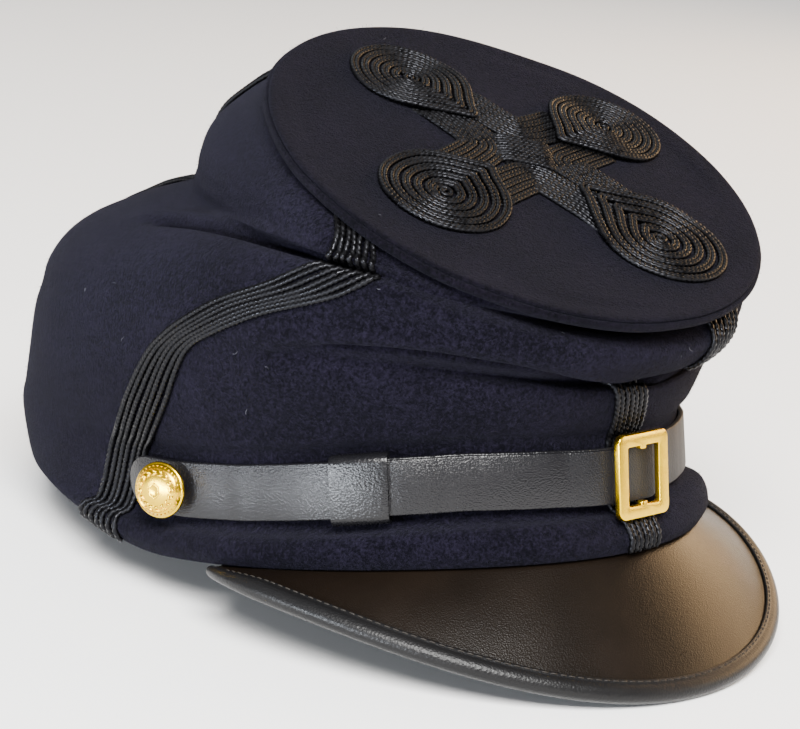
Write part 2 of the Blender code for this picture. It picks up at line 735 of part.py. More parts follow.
def main():
    clear_scene()
    wool = material("navy_wool", (0.012, 0.012, 0.024), 0.95)
    leather = material("black_leather", (0.012, 0.011, 0.010), 0.42)
    brass = material("brass", (0.80, 0.58, 0.20), 0.28, 1.0)
    braid = material("black_braid", (0.010, 0.009, 0.009), 0.55)
    cap = bpy.data.objects.new("cap", None)
    bpy.context.scene.collection.objects.link(cap)
    slope, height = rest_line()
    tilt = math.atan(slope)
    cap.rotation_euler = (-tilt, 0, 0)
    cap.location = (0, CENTRE_Y * MM, -height * math.cos(tilt) * MM)
    make_crown(wool, cap)
    make_disc(wool, cap)
    make_visor(leather, cap)
    make_binding(leather, cap)
    make_strap(leather, cap)
    make_lap(leather, cap)
    make_keeper(leather, cap)
    make_buckle(brass, cap)
    make_button("button_right", 1, brass, cap)
    make_button("button_left", -1, brass, cap)
    for name, table in BRAIDS.items():
        make_braid(name, table, braid, cap)
    make_knot(braid, cap)


main()
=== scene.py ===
import math

import bmesh
import bpy
import numpy as np
from mathutils import Matrix, Vector


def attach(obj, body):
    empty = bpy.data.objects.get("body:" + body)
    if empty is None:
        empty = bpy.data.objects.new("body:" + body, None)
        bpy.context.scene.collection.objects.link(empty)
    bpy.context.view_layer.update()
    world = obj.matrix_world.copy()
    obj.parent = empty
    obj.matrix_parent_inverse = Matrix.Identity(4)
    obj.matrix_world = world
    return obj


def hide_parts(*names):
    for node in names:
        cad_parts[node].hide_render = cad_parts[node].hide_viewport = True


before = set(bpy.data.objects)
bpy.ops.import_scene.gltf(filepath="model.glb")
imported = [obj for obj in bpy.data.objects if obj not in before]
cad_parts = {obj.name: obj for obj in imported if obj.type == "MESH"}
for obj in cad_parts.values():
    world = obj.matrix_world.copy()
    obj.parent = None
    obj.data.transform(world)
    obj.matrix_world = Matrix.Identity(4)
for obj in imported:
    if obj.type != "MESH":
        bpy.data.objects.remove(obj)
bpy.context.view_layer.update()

# Lengths are millimetres in the cap's own frame: the wearer faces -Y, the wearer's right is -X and
# the hem's plane is z = 0. A turn round the cap is 0 at the front and grows to the wearer's right.
MM = 0.001
TILT = math.radians(8.44665)
SHIFT_Y = -1.4
LIFT = 18.8119

# The gap between pieces, the disc's lean to one side and the wool's thickness.
GAP = 0.3
LEAN = math.tan(math.radians(3.2))
WOOL = 2.0
# The crown's rows, from the hem up: where its front, sides and back are, how much further out and
# up the wool is between them, and how much of the lean the row has.
COLUMNS = (
    "front_y", "front_z", "side_x", "side_y", "side_z", "back_y", "back_z",
    "front_out", "front_rise", "back_out", "back_rise", "lean",
)
ROWS = (
    ("hem", -103.9, 0.0, 85.9, 0.0, -3.2, 104.5, -3.5, 0, 1.2, 0, 7.6, 0.0),
    ("hem_roll", -105.0, 4.0, 87.6, 0.0, 0.6, 113.0, 1.0, 0.4, 1.4, 3.2, 6.6, 0.0),
    ("strap_foot", -101.4, 9.5, 86.0, 1.0, 4.2, 120.0, 8.0, 1.2, 2.6, 6.4, 4.2, 0.0),
    ("strap_low", -97.0, 13.0, 81.5, 2.0, 8.0, 125.0, 15.0, -1.6, 3.5, 10.0, 2.0, 0.0),
    ("strap_high", -96.5, 30.0, 81.0, 4.0, 25.5, 128.6, 31.0, -1.6, 3.5, 10.5, 0, 0.0),
    ("wall_foot", -99.5, 35.5, 84.5, 3.5, 32.5, 127.6, 40.0, -0.4, 3.5, 8.0, 0, 0.1),
    ("wall_mid", -102.0, 41.0, 88.0, 1.0, 44.0, 126.0, 51.0, -0.5, 3.0, 5.5, 0, 0.2),
    ("fold2_lip", -103.5, 46.0, 90.0, -3.0, 57.0, 123.4, 62.0, 0, 4.0, 4.0, 0, 0.2),
    ("fold2_valley", -100.4, 48.9, 90.6, -7.0, 64.0, 120.4, 70.0, -1.5, 4.0, 3.0, 0, 0.3),
    ("roll_low", -110.0, 50.0, 90.6, -12.0, 69.5, 117.5, 77.0, 0, 4.5, 2.0, 0, 0.3),
    ("roll_out", -116.5, 55.5, 89.3, -19.0, 77.0, 110.2, 85.0, -2.0, 4.0, 1.0, 0, 0.4),
    ("roll_top", -114.5, 60.5, 86.5, -29.0, 83.5, 99.0, 92.0, 0, 4.5, 0, 0, 0.5),
    ("fold1_lip", -111.0, 62.4, 82.0, -40.0, 88.5, 82.0, 97.5, 0, 4.5, 0, 0, 0.6),
    ("fold1_valley", -106.0, 63.0, 77.0, -49.0, 90.0, 61.0, 100.0, -1.0, 4.5, 0, 0, 0.7),
    ("collar_low", -109.0, 64.2, 77.5, -53.0, 93.0, 56.5, 106.0, 0, 3.5, 0.5, 0, 0.8),
    ("collar_mid", -112.5, 64.7, 77.5, -55.0, 96.0, 54.0, 115.0, 0, 2.5, 1.0, -0.5, 0.9),
    ("collar_high", -115.5, 65.2, 76.0, -56.0, 99.0, 47.0, 125.0, 0, 1.0, 1.5, -2.0, 1.0),
    ("collar_top", -118.0, 65.4, 73.5, -55.5, 101.5, 33.0, 133.5, 0, 0.3, 0, -4.0, 1.0),
)
NAMES = [row[0] for row in ROWS]
TABLE = np.array([row[1:] for row in ROWS], float)
LAST = len(ROWS) - 1
SEAT = LAST + 1
VALLEY = NAMES.index("fold1_valley")
ROLL_OUT = NAMES.index("roll_out")
STRAP_LOW = NAMES.index("strap_low")
STRAP_HIGH = NAMES.index("strap_high")

DISC_CENTRE = np.array((0.3, -56.3, 105.1))
DISC_PITCH = math.radians(30.7)
DISC_HALF_LENGTH = 77.3
DISC_HALF_WIDTH = 74.0
DISC_DENT = 2.6
DISC_DENT_ANGLE = math.radians(-137.0)
DISC_DENT_SPREAD = math.radians(20.0)
RIM_INSET = 3.0
RIM_FOOT = -2.6

VISOR_HALF_ANGLE = math.radians(80.5)
VISOR_REACH = 24.0
VISOR_DROP = 37.3
VISOR_TIP_DROP = 1.4
VISOR_MARGIN = 1.7
VISOR_THICK = 2.0

STRAP_END = math.radians(93.4)
STRAP_WIDTH = 16.0
STRAP_THICK = 1.6
LAP_THICK = 1.4
KEEPER_MID = math.radians(53.2)
KEEPER_THICK = 1.3
BUCKLE_MID = math.radians(0.6)
BUTTON_ANGLE = math.radians(88.4)
BUTTON_TURN = math.radians(18.0)
BRAID_FRONT = math.radians(0.3)

CAP = (
    Matrix.Translation((0, SHIFT_Y * MM, LIFT * MM))
    @ Matrix.Rotation(-TILT, 4, "X")
    @ Matrix.Diagonal((MM, MM, MM, 1))
)
CAP_ARRAY = np.array(CAP)


# ---------------------------------------------------------------- form of the cap


def eased(value, start, end):
    share = np.clip((value - start) / (end - start), 0.0, 1.0)
    return share * share * (3 - 2 * share)


def bell(away, spread):
    """1 where away is 0, and next to nothing from two spreads on."""
    return np.exp(-((away / spread) ** 2))


def unit(vectors):
    length = np.linalg.norm(vectors, axis=-1, keepdims=True)
    return vectors / np.maximum(length, 1e-9)


def through(a, b, c, d, share):
    """A smooth curve from b to c, where a comes before them and d after them."""
    curve = 2 * b + (c - a) * share + (2 * a - 5 * b + 4 * c - d) * share**2
    return 0.5 * (curve + (3 * b - a - 3 * c + d) * share**3)


DISC_AXES = np.array(
    Matrix.Rotation(DISC_PITCH, 3, "X") @ Matrix.Rotation(-math.atan(LEAN), 3, "Y")
)
DISC_UP = DISC_AXES[:, 2]


def to_disc(points):
    return (points - DISC_CENTRE) @ DISC_AXES


def from_disc(local):
    return local @ DISC_AXES.T + DISC_CENTRE


def disc_edge(angle, inset, height):
    """Points so far in from the disc's edge, and so high over its plane."""
    away = (angle - DISC_DENT_ANGLE + math.pi) % (2 * math.pi) - math.pi
    inset = inset + DISC_DENT * bell(away, DISC_DENT_SPREAD)
    x = -(DISC_HALF_WIDTH - inset) * np.sin(angle)
    y = -(DISC_HALF_LENGTH - inset) * np.cos(angle)
    return from_disc(np.stack([x, y, np.zeros_like(x) + height], -1))


def blended(place):
    start = np.clip(np.floor(place).astype(int), 0, LAST - 1)
    beside = (TABLE[np.clip(start + step, 0, LAST)] for step in (-1, 0, 1, 2))
    row = through(*beside, (place - start)[..., None])
    return {name: row[..., k] for k, name in enumerate(COLUMNS)}


def round_oval(front, side, back, cosine):
    return side + (front - back) / 2 * cosine + ((front + back) / 2 - side) * cosine**2


ROW_UNDER_DISC = 0.55
PRESS_FROM = -6


def table_point(place, angle):
    """A point of the table's surface, which above the roll gives way to the disc."""
    row = blended(place)
    cosine = np.cos(angle)
    sine = np.sin(angle)
    ahead = cosine > 0
    quarter = np.sin(2 * angle) ** 2
    out = np.where(ahead, row["front_out"], row["back_out"]) * quarter
    x = -(row["side_x"] + out) * sine
    y = round_oval(row["front_y"], row["side_y"], row["back_y"], cosine) - out * cosine
    z = round_oval(row["front_z"], row["side_z"], row["back_z"], cosine)
    z = z + np.where(ahead, row["front_rise"], row["back_rise"]) * quarter
    z = z + x * LEAN * row["lean"]
    local = to_disc(np.stack([x, y, z], -1))
    over = local[..., 2] - (RIM_FOOT - GAP - ROW_UNDER_DISC * (SEAT - place))
    free = (place < ROLL_OUT) | (over < PRESS_FROM)
    local[..., 2] -= np.where(free, 0.0, np.log1p(np.exp(over)))
    return from_disc(local)


def seat_point(angle, width=0.0):
    return disc_edge(angle, RIM_INSET + width, RIM_FOOT - GAP)


# The collar is pressed flat where the first fold comes this near to the disc, and hangs free where
# it stays so far off.
COLLAR_FLAT = 5.8
COLLAR_FREE = 12.0


def collar_freedom(angle):
    valley = to_disc(table_point(np.full_like(angle, VALLEY), angle))
    return eased(RIM_FOOT - GAP - valley[..., 2], COLLAR_FLAT, COLLAR_FREE)[..., None]


def crown(place, angle):
    """The wool's outer face: place runs from the hem's row, 0, up to the disc's seat."""
    place, angle = np.broadcast_arrays(np.asarray(place, float), np.asarray(angle, float))
    table = table_point(np.minimum(place, LAST), angle)
    seat = seat_point(angle)
    foot = table_point(np.full_like(angle, VALLEY), angle)
    share = ((place - VALLEY) / (SEAT - VALLEY))[..., None]
    pressed = foot + (seat - foot) * share
    free = table + (seat - table) * np.maximum(0.0, place - LAST)[..., None]
    collar = pressed + (free - pressed) * collar_freedom(angle)
    return np.where((place <= VALLEY)[..., None], table, collar)


# Small steps, in radians and in rows, for the directions of a surface.
NUDGE = 0.01
CROWN_NUDGE = 0.012
ROW_NUDGE = 0.05


def crown_normal(place, angle):
    place, angle = np.broadcast_arrays(np.asarray(place, float), np.asarray(angle, float))
    around = crown(place, angle + CROWN_NUDGE) - crown(place, angle - CROWN_NUDGE)
    high = np.minimum(place + ROW_NUDGE, SEAT)
    low = np.maximum(place - ROW_NUDGE, 0.0)
    return unit(np.cross(crown(high, angle) - crown(low, angle), around))


def hem_outward(angle):
    step = crown(0.0, angle + NUDGE) - crown(0.0, angle - NUDGE)
    return unit(np.stack([-step[..., 1], step[..., 0], np.zeros_like(step[..., 0])], -1))


# Sharp creases: their line over the cap as (turn in degrees, row), how deep they are, their half
# width in rows and how far the wool bulges above them.
CREASES = (
    (((-30, 7.4), (-6.5, 7.0), (4, 7.6), (12, 8.25), (23, 8.8), (31, 8.95), (44, 8.95), (52, 8.87),
      (59, 8.72), (65, 8.4)), 2.6, 0.18, 1.3),
    (((66, 13.35), (83.5, 13.3), (92, 13.08), (101, 12.8), (112, 12.3), (120, 11.9),
      (127, 11.6)), 4.0, 0.27, 1.7),
    (((-130, 12.2), (-115, 12.7), (-100, 13.05), (-80, 13.2), (-66, 13.3)), 3.2, 0.22, 1.3),
)
CREASE_FADE = 9
SHOULDER_DEPTH = 0.5
BULGE_ABOVE = 0.75
BULGE_SPREAD = 0.5


def creases(place, degrees):
    total = np.zeros_like(place)
    for line, depth, width, bulge in CREASES:
        turns, rows = np.array(line).T
        away = place - np.interp(degrees, turns, rows)
        inside = eased(degrees, turns[0], turns[0] + CREASE_FADE)
        inside = inside * (1 - eased(degrees, turns[-1] - CREASE_FADE, turns[-1]))
        shape = -depth * bell(away, width) - SHOULDER_DEPTH * bell(away, 3 * width)
        total = total + inside * (shape + bulge * bell(away - BULGE_ABOVE, BULGE_SPREAD))
    return total


# The worn wool's dents and bulges: how far outward, then the middle's row and its spread in rows,
# the middle's turn and its spread in degrees, and the slope in rows for each degree.
DENTS = (
    (0.7, 8.05, 0.35, 42.0, 17.0, 0.0),
    (1.1, 8.4, 1.5, 71.0, 4.5, 0.0),
    (-0.9, 8.5, 0.7, 64.0, 5.0, 0.0),
    (0.7, 6.9, 0.8, 60.0, 16.0, -0.01),
    (-0.8, 5.4, 0.7, 55.0, 30.0, 0.004),
    (0.8, 6.2, 1.2, 28.0, 18.0, 0.0),
    (-1.0, 8.1, 0.6, -64.0, 16.0, -0.006),
    (0.8, 9.2, 0.9, -60.0, 22.0, 0.0),
    (-1.1, 12.9, 0.5, 118.0, 22.0, 0.01),
    (-0.8, 13.0, 0.5, -122.0, 24.0, -0.01),
    (1.2, 9.0, 1.6, 135.0, 22.0, 0.0),
    (-1.0, 6.0, 1.2, 150.0, 12.0, 0.02),
    (1.0, 6.5, 1.4, 172.0, 10.0, 0.0),
    (-1.0, 7.0, 1.3, -156.0, 12.0, -0.02),
    (1.1, 8.6, 1.5, -138.0, 20.0, 0.0),
    (-0.7, 15.2, 0.9, 150.0, 14.0, 0.0),
    (-0.7, 15.4, 0.9, -160.0, 16.0, 0.0),
    (-2.0, 11.6, 0.9, 178.0, 30.0, 0.0),
    (2.2, 13.3, 0.7, 178.0, 34.0, 0.0),
)
# Where the wool lies smooth: so many rows from the hem and the disc's seat, near the strap's groove,
# and in front above the roll, where it is drawn tight.
HEM_CALM = 1.5
SEAT_CALM = 2.0
GROOVE_SPREAD = 0.9
FRONT_SPREAD = 45.0
FRONT_CALM = 0.8


def dent(place, degrees, depth, row, row_spread, turn, turn_spread, slope):
    away = (degrees - turn + 180.0) % 360.0 - 180.0
    return depth * bell(place - row - slope * away, row_spread) * bell(away, turn_spread)


def wrinkles(place, angle):
    """How far the worn wool stands out: two soft waves round the cap, the dents and the creases."""
    degrees = np.degrees((angle + math.pi) % (2 * math.pi) - math.pi)
    total = 0.35 * np.sin(3 * angle + 0.7 * place + 1.0) * np.sin(0.55 * place)
    total = total + 0.22 * np.sin(7 * angle - 0.9 * place)
    for numbers in DENTS:
        total = total + dent(place, degrees, *numbers)
    calm = eased(place, 0.0, HEM_CALM) * (1 - eased(place, SEAT - SEAT_CALM, SEAT))
    groove = 1 - bell(place - (STRAP_LOW + STRAP_HIGH) / 2, GROOVE_SPREAD)
    tight = 1 - FRONT_CALM * bell(degrees, FRONT_SPREAD) * (place > ROLL_OUT - 1)
    return (total * tight + creases(place, degrees)) * calm * groove


def skin(place, angle):
    """The wrinkled outer face of the wool and its normal."""
    normal = crown_normal(place, angle)
    return crown(place, angle) + normal * wrinkles(place, angle)[..., None], normal


# ---------------------------------------------------------------- mesh makers


def in_place(points):
    flat = np.asarray(points, float).reshape(-1, 3)
    return flat @ CAP_ARRAY[:3, :3].T + CAP_ARRAY[:3, 3]


def added(name, data):
    """A new object, put into the scene."""
    thing = bpy.data.objects.new(name, data)
    bpy.context.scene.collection.objects.link(thing)
    return thing


def new_piece(name, vertices, faces, finish, smooth_angle):
    mesh = bpy.data.meshes.new(name)
    mesh.from_pydata(vertices.tolist(), [], faces)
    mesh.update()
    mesh.validate()
    piece = added(name, mesh)
    dressed(piece, finish, smooth_angle)
    return piece


def dressed(piece, finish, smooth_angle):
    """Turns the faces outward, smooths them and gives the piece its finish and its body."""
    work = bmesh.new()
    work.from_mesh(piece.data)
    bmesh.ops.recalc_face_normals(work, faces=work.faces)
    if work.calc_volume(signed=True) < 0:
        bmesh.ops.reverse_faces(work, faces=work.faces)
    work.to_mesh(piece.data)
    work.free()
    piece.data.shade_smooth()
    piece.data.set_sharp_from_angle(angle=math.radians(smooth_angle))
    piece.data.materials.clear()
    piece.data.materials.append(finish)
    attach(piece, "root")


def ring_faces(rings, sides, closed_length, offset=0):
    """The faces of a loft: a loop without ends, or a length with a face at each end."""
    faces = []
    count = rings if closed_length else rings - 1
    for ring in range(count):
        a = offset + ring * sides
        b = offset + ((ring + 1) % rings) * sides
        for side in range(sides):
            after = (side + 1) % sides
            faces.append((a + side, a + after, b + after, b + side))
    if not closed_length:
        faces.append(tuple(offset + side for side in range(sides))[::-1])
        faces.append(tuple(offset + (rings - 1) * sides + side for side in range(sides)))
    return faces


def lofted(name, rings, finish, smooth_angle, closed_length=False):
    rings = np.asarray(rings, float)
    faces = ring_faces(rings.shape[0], rings.shape[1], closed_length)
    return new_piece(name, in_place(rings), faces, finish, smooth_angle)


def length_along(path):
    steps = np.linalg.norm(np.diff(path, axis=0), axis=1)
    return np.concatenate([[0.0], np.cumsum(steps)])


def spaced(points, extra, step):
    """Resamples a path and the values along it at equal steps of its length."""
    run = length_along(points)
    at = np.linspace(0, run[-1], max(4, int(round(run[-1] / step))) + 1)
    both = np.hstack([points, extra])
    both = np.stack([np.interp(at, run, column) for column in both.T], -1)
    return both[:, :3], both[:, 3:], at


def circle(side, up, count):
    """A ring of radius 1, from one direction to the other and on round."""
    turn = (np.arange(count) * 2 * math.pi / count)[:, None]
    return side * np.cos(turn) + up * np.sin(turn)


# A cord's step, sides and length of one twist, how deep its plies are cut as a share of its radius,
# and its size at a tapered end and how soon it is whole.
CORD_STEP = 0.43
CORD_SIDES = 8
CORD_TWIST = 3.3
CORD_LOBES = 0.20
CORD_TIP = 0.35
CORD_TAPER = 0.8


def cord_rings(points, normals, radius, taper=True, phase=0.0):
    """A cord of two twisted plies: a section with two lobes that turns along the path."""
    path, up, run = spaced(points, normals, CORD_STEP)
    along = unit(np.gradient(path, axis=0))
    up = unit(up - along * (up * along).sum(1, keepdims=True))
    turn = np.arange(CORD_SIDES) * 2 * math.pi / CORD_SIDES
    spin = 2 * math.pi * run / CORD_TWIST + phase
    size = radius * (1 + CORD_LOBES * np.cos(2 * (turn - spin[:, None])))
    if taper:
        ends = np.minimum(run, run[-1] - run)
        size = size * (CORD_TIP + (1 - CORD_TIP) * eased(ends, 0.0, CORD_TAPER))[:, None]
    ring = circle(np.cross(along, up)[:, None], up[:, None], CORD_SIDES)
    return path[:, None] + ring * size[..., None]


def cords_piece(name, cords, finish):
    """One piece made of several closed cords."""
    vertices = []
    faces = []
    offset = 0
    for rings in cords:
        vertices.append(in_place(rings))
        faces += ring_faces(rings.shape[0], rings.shape[1], False, offset)
        offset += rings.shape[0] * rings.shape[1]
    return new_piece(name, np.concatenate(vertices), faces, finish, 180.0)


# ---------------------------------------------------------------- finishes


class Wire:
    """A shader value that can be added, multiplied and so on as a number is."""

    def __init__(self, tree, socket):
        self.tree = tree
        self.socket = socket

    def math(self, operation, *others):
        made = self.tree.nodes.new("ShaderNodeMath")
        made.operation = operation
        for index, value in enumerate((self, *others)):
            if isinstance(value, Wire):
                self.tree.links.new(value.socket, made.inputs[index])
            else:
                made.inputs[index].default_value = value
        return Wire(self.tree, made.outputs[0])

    def __add__(self, other):
        return self.math("ADD", other)

    def __sub__(self, other):
        return self.math("SUBTRACT", other)

    def __mul__(self, other):
        return self.math("MULTIPLY", other)

    def __rsub__(self, other):
        return self * -1.0 + other

    __radd__ = __add__
    __rmul__ = __mul__

    def clamped(self):
        return self.math("MINIMUM", 1.0).math("MAXIMUM", 0.0)


class Finish:
    """A material under way, with one way of making each of its nodes."""

    def __init__(self, name):
        self.material = bpy.data.materials.new(name)
        self.material.use_nodes = True
        self.tree = self.material.node_tree
        self.shader = self.tree.nodes["Principled BSDF"]

    def node(self, kind, settings=None, **inputs):
        made = self.tree.nodes.new(kind)
        for key, value in (settings or {}).items():
            setattr(made, key, value)
        for key, value in inputs.items():
            self.feed(made.inputs[key.replace("_", " ")], value)
        return made

    def feed(self, socket, value):
        if isinstance(value, Wire):
            self.tree.links.new(value.socket, socket)
        else:
            socket.default_value = value

    def wire(self, made, output=0):
        return Wire(self.tree, made.outputs[output])

    def place(self):
        return self.wire(self.node("ShaderNodeTexCoord"), "Object")

    def along_x(self):
        """How far along the cap's width a point is, in metres."""
        return self.wire(self.node("ShaderNodeSeparateXYZ", Vector=self.place()), "X")

    def mapped(self, scale=(1, 1, 1), turned=(0, 0, 0)):
        return self.wire(
            self.node("ShaderNodeMapping", Vector=self.place(), Scale=scale, Rotation=turned)
        )

    def noise(self, scale, detail=2.0, roughness=0.5, vector=None):
        made = self.node(
            "ShaderNodeTexNoise", Vector=vector or self.place(), Scale=scale, Detail=detail,
            Roughness=roughness,
        )
        return self.wire(made)

    def cells(self, scale):
        made = self.node("ShaderNodeTexVoronoi", Vector=self.place(), Scale=scale)
        return self.wire(made, "Distance")

    def mixed(self, share, first, second):
        """A mix of two colours, whose sockets share their names with those for numbers."""
        made = self.node("ShaderNodeMix", {"data_type": "RGBA"})
        for index, value in ((0, share), (6, (*first, 1)), (7, (*second, 1))):
            self.feed(made.inputs[index], value)
        return self.wire(made, 2)

    def bump(self, height, strength, distance):
        made = self.node("ShaderNodeBump", Strength=strength, Distance=distance, Height=height)
        self.feed(self.shader.inputs["Normal"], self.wire(made))

    def set(self, **values):
        for key, value in values.items():
            self.feed(self.shader.inputs[key.replace("_", " ")], value)
        return self.material


def wool_finish(name, dark, light):
    finish = Finish(name)
    nap = finish.noise(1350.0, 4.0, 0.72)
    felt = finish.noise(640.0, 3.0, 0.6)
    cloud = finish.noise(38.0, 3.0, 0.5)
    share = ((nap - 0.40) * 3.2 + (felt - 0.5) * 1.7 + (cloud - 0.5) * 0.8).clamped()
    finish.bump(nap * 0.9 + felt * 0.5, 1.0, 0.0008)
    return finish.set(
        Base_Color=finish.mixed(share, dark, light), Roughness=0.96, Specular_IOR_Level=0.04,
        Sheen_Weight=0.02, Sheen_Roughness=0.5, Sheen_Tint=(0.6, 0.6, 0.85, 1),
    )


# Leather is worn dull from this many metres right of the cap's middle, and more so to the left, by
# so much for each metre.
DULL_FROM = 0.025
DULL_SLOPE = 30.0


def leather_finish(name, dark, light, grain, depth, roughness, shine, dulled=0.0):
    """Grained leather; dulled is how much rougher it has worn on the wearer's left."""
    finish = Finish(name)
    pores = finish.cells(grain)
    crease = finish.noise(grain * 0.8, 3.0, 0.5)
    wear = finish.noise(45.0, 4.0, 0.55)
    finish.bump(pores * 0.8 + crease * 0.6, depth, 0.00022)
    varied = (wear - 0.5) * 0.16 + (crease - 0.5) * 0.12 + roughness
    varied = varied + ((finish.along_x() + DULL_FROM) * DULL_SLOPE).clamped() * dulled
    return finish.set(
        Base_Color=finish.mixed(wear.clamped(), dark, light), Roughness=varied.clamped(),
        Specular_IOR_Level=shine,
    )


def braid_finish(name, dark, light, roughness, shine):
    finish = Finish(name)
    fibre = finish.noise(2600.0, 2.0, 0.5)
    glint = finish.noise(520.0, 3.0, 0.6)
    tone = finish.noise(130.0, 3.0, 0.5)
    finish.bump(fibre, 0.4, 0.0001)
    varied = (tone - 0.5) * 0.3 + (0.5 - glint) * 1.5 + roughness
    return finish.set(
        Base_Color=finish.mixed((fibre * 0.6 + tone * 0.5).clamped(), dark, light),
        Roughness=varied.math("MAXIMUM", 0.13).clamped(), Specular_IOR_Level=shine,
        Specular_Tint=(0.86, 0.88, 1.0, 1),
    )


def brass_finish(name, warm, worn):
    finish = Finish(name)
    stain = finish.noise(420.0, 4.0, 0.6)
    scratch = finish.noise(2400.0, 2.0, 0.5, finish.mapped((1.0, 0.12, 1.0), (0.2, 0.1, 0.6)))
    finish.bump(scratch, 0.10, 0.0001)
    return finish.set(
        Base_Color=finish.mixed(((stain - 0.35) * 1.6).clamped(), warm, worn), Metallic=1.0,
        Roughness=((stain - 0.5) * 0.2 + (scratch - 0.5) * 0.1 + 0.24).clamped(),
    )


wool = wool_finish("navy_wool_nap", (0.0004, 0.0003, 0.0012), (0.0056, 0.0046, 0.0100))
# The disc's wool is a darker copy of the same navy wool: painted shade, so that the top, which gets more
# light, comes out no brighter than the walls.
shaded_top_wool = wool_finish("navy_wool_top_painted_shade", (0.0002, 0.0002, 0.0007), (0.0036, 0.0026, 0.0056))
fuzz = wool_finish("navy_wool_fuzz", (0.0020, 0.0017, 0.0042), (0.010, 0.0085, 0.016))
lint = wool_finish("pale_lint", (0.05, 0.05, 0.06), (0.16, 0.16, 0.18))
peak_leather = leather_finish(
    "peak_leather", (0.0022, 0.0016, 0.0012), (0.0058, 0.0036, 0.0022),
    grain=2200.0, depth=0.35, roughness=0.32, shine=0.15,
)
strap_leather = leather_finish(
    "strap_leather", (0.0030, 0.0030, 0.0037), (0.006, 0.0058, 0.0068),
    grain=2100.0, depth=0.5, roughness=0.25, shine=0.24, dulled=0.35,
)
edge_leather = leather_finish(
    "edge_leather", (0.003, 0.003, 0.0034), (0.007, 0.0067, 0.0068),
    grain=1500.0, depth=0.4, roughness=0.36, shine=0.15,
)
# The keeper's leather is a darker copy of the strap's: painted shade standing in for the shadow along
# the keeper's edges.
keeper_leather_painted_shade = leather_finish(
    "keeper_leather_painted_shade", (0.0022, 0.0022, 0.0027), (0.005, 0.0048, 0.0056),
    grain=1700.0, depth=0.4, roughness=0.26, shine=0.24,
)
braid = braid_finish(
    "black_cord", (0.0004, 0.0004, 0.0005), (0.0024, 0.0022, 0.0024), roughness=0.40, shine=0.14
)
thread = braid_finish(
    "dark_thread", (0.008, 0.007, 0.006), (0.024, 0.021, 0.018), roughness=0.50, shine=0.08
)
brass = brass_finish("worn_brass", (0.78, 0.50, 0.008), (0.60, 0.35, 0.006))


# ---------------------------------------------------------------- wool


# How many sides the crown has, and its outer rings: from one row to another, and how many.
ROUND = 288
OUTER_RINGS = ((0, 7, 46), (7, 11, 46), (11, 14, 70), (14, 18, 27))
INNER_RINGS = 55
BUNCHED_ROWS = (7, 12)
BUNCH_SPREAD = math.sqrt(0.3)
COLLAR_TURN_IN = 4.5
INNER_UNDER_DISC = 0.05
# The hem lies REST_GAP over what is below where it comes nearer than SAG_FROM, and hangs freely from
# SAG_TO on.
REST_GAP = 0.02
SAG_FROM = 0.7
SAG_TO = 5.0


def floor_under(points):
    """How high the surface below is, in the cap's tilted frame."""
    return math.tan(TILT) * points[..., 1] - LIFT / math.cos(TILT)


def settled(points):
    """The hem's back sags softly until it lies flat on the surface below."""
    floor = floor_under(points)
    gap = points[..., 2] - floor
    resting = REST_GAP + (gap - REST_GAP) * eased(gap, SAG_FROM, SAG_TO)
    points[..., 2] = floor + np.where(points[..., 1] > 0, resting, gap)
    return points


def below_seat(points, limit):
    local = to_disc(points)
    local[..., 2] = np.minimum(local[..., 2], limit)
    return from_disc(local)


def inner_ring(place, angle):
    """The crown's inner face, one wool's thickness in, and more where folds bunch it."""
    at = np.full_like(angle, place)
    bunched = sum(bell(place - row, BUNCH_SPREAD) for row in BUNCHED_ROWS)
    thick = WOOL * (1 + 0.5 * bunched) + np.maximum(0.0, -wrinkles(at, angle))
    free = crown(at, angle) - crown_normal(at, angle) * thick[:, None]
    if place == SEAT:
        free = seat_point(angle, WOOL)
    if place >= VALLEY:
        tip = crown(float(VALLEY), angle) - hem_outward(angle) * WOOL * 1.5
        end = seat_point(angle, WOOL + COLLAR_TURN_IN)
        pressed = tip + (end - tip) * (place - VALLEY) / (SEAT - VALLEY)
        free = pressed + (free - pressed) * collar_freedom(angle)
    if place < SEAT:
        free = below_seat(free, RIM_FOOT - GAP - INNER_UNDER_DISC * (SEAT - place))
    return free


def make_crown():
    angle = np.arange(ROUND) * 2 * math.pi / ROUND
    places = np.unique(np.concatenate([np.linspace(*span) for span in OUTER_RINGS]))
    outer = [skin(np.full_like(angle, place), angle)[0] for place in places]
    outer[0] = settled(outer[0])
    outer[-1] = seat_point(angle)
    inner = [inner_ring(place, angle) for place in np.linspace(0, SEAT, INNER_RINGS)]
    inner[0] = settled(outer[0] - hem_outward(angle) * WOOL)
    rings = outer + inner[::-1]
    piece = lofted("wool_crown", rings, wool, 75.0, closed_length=True)
    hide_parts("crown")


# Across the disc: distance in from its edge and height, from under the rim over the piped edge.
RIM = (
    (8.0, -1.9), (5.2, -2.6), (3.2, -2.75), (1.9, -2.6), (0.9, -2.15), (0.25, -1.4), (0.0, -0.6),
    (0.1, 0.0), (0.45, 0.38), (0.95, 0.5), (1.4, 0.52), (1.3, 0.8), (1.0, 1.05), (1.05, 1.35),
    (1.5, 1.62), (2.4, 1.72), (3.8, 1.66), (5.2, 1.55), (7.5, 1.42),
)
DISC_ROUND = 240
TOP_RINGS = 26
TOP_HEIGHT = 1.32
TOP_EYE = 8.0


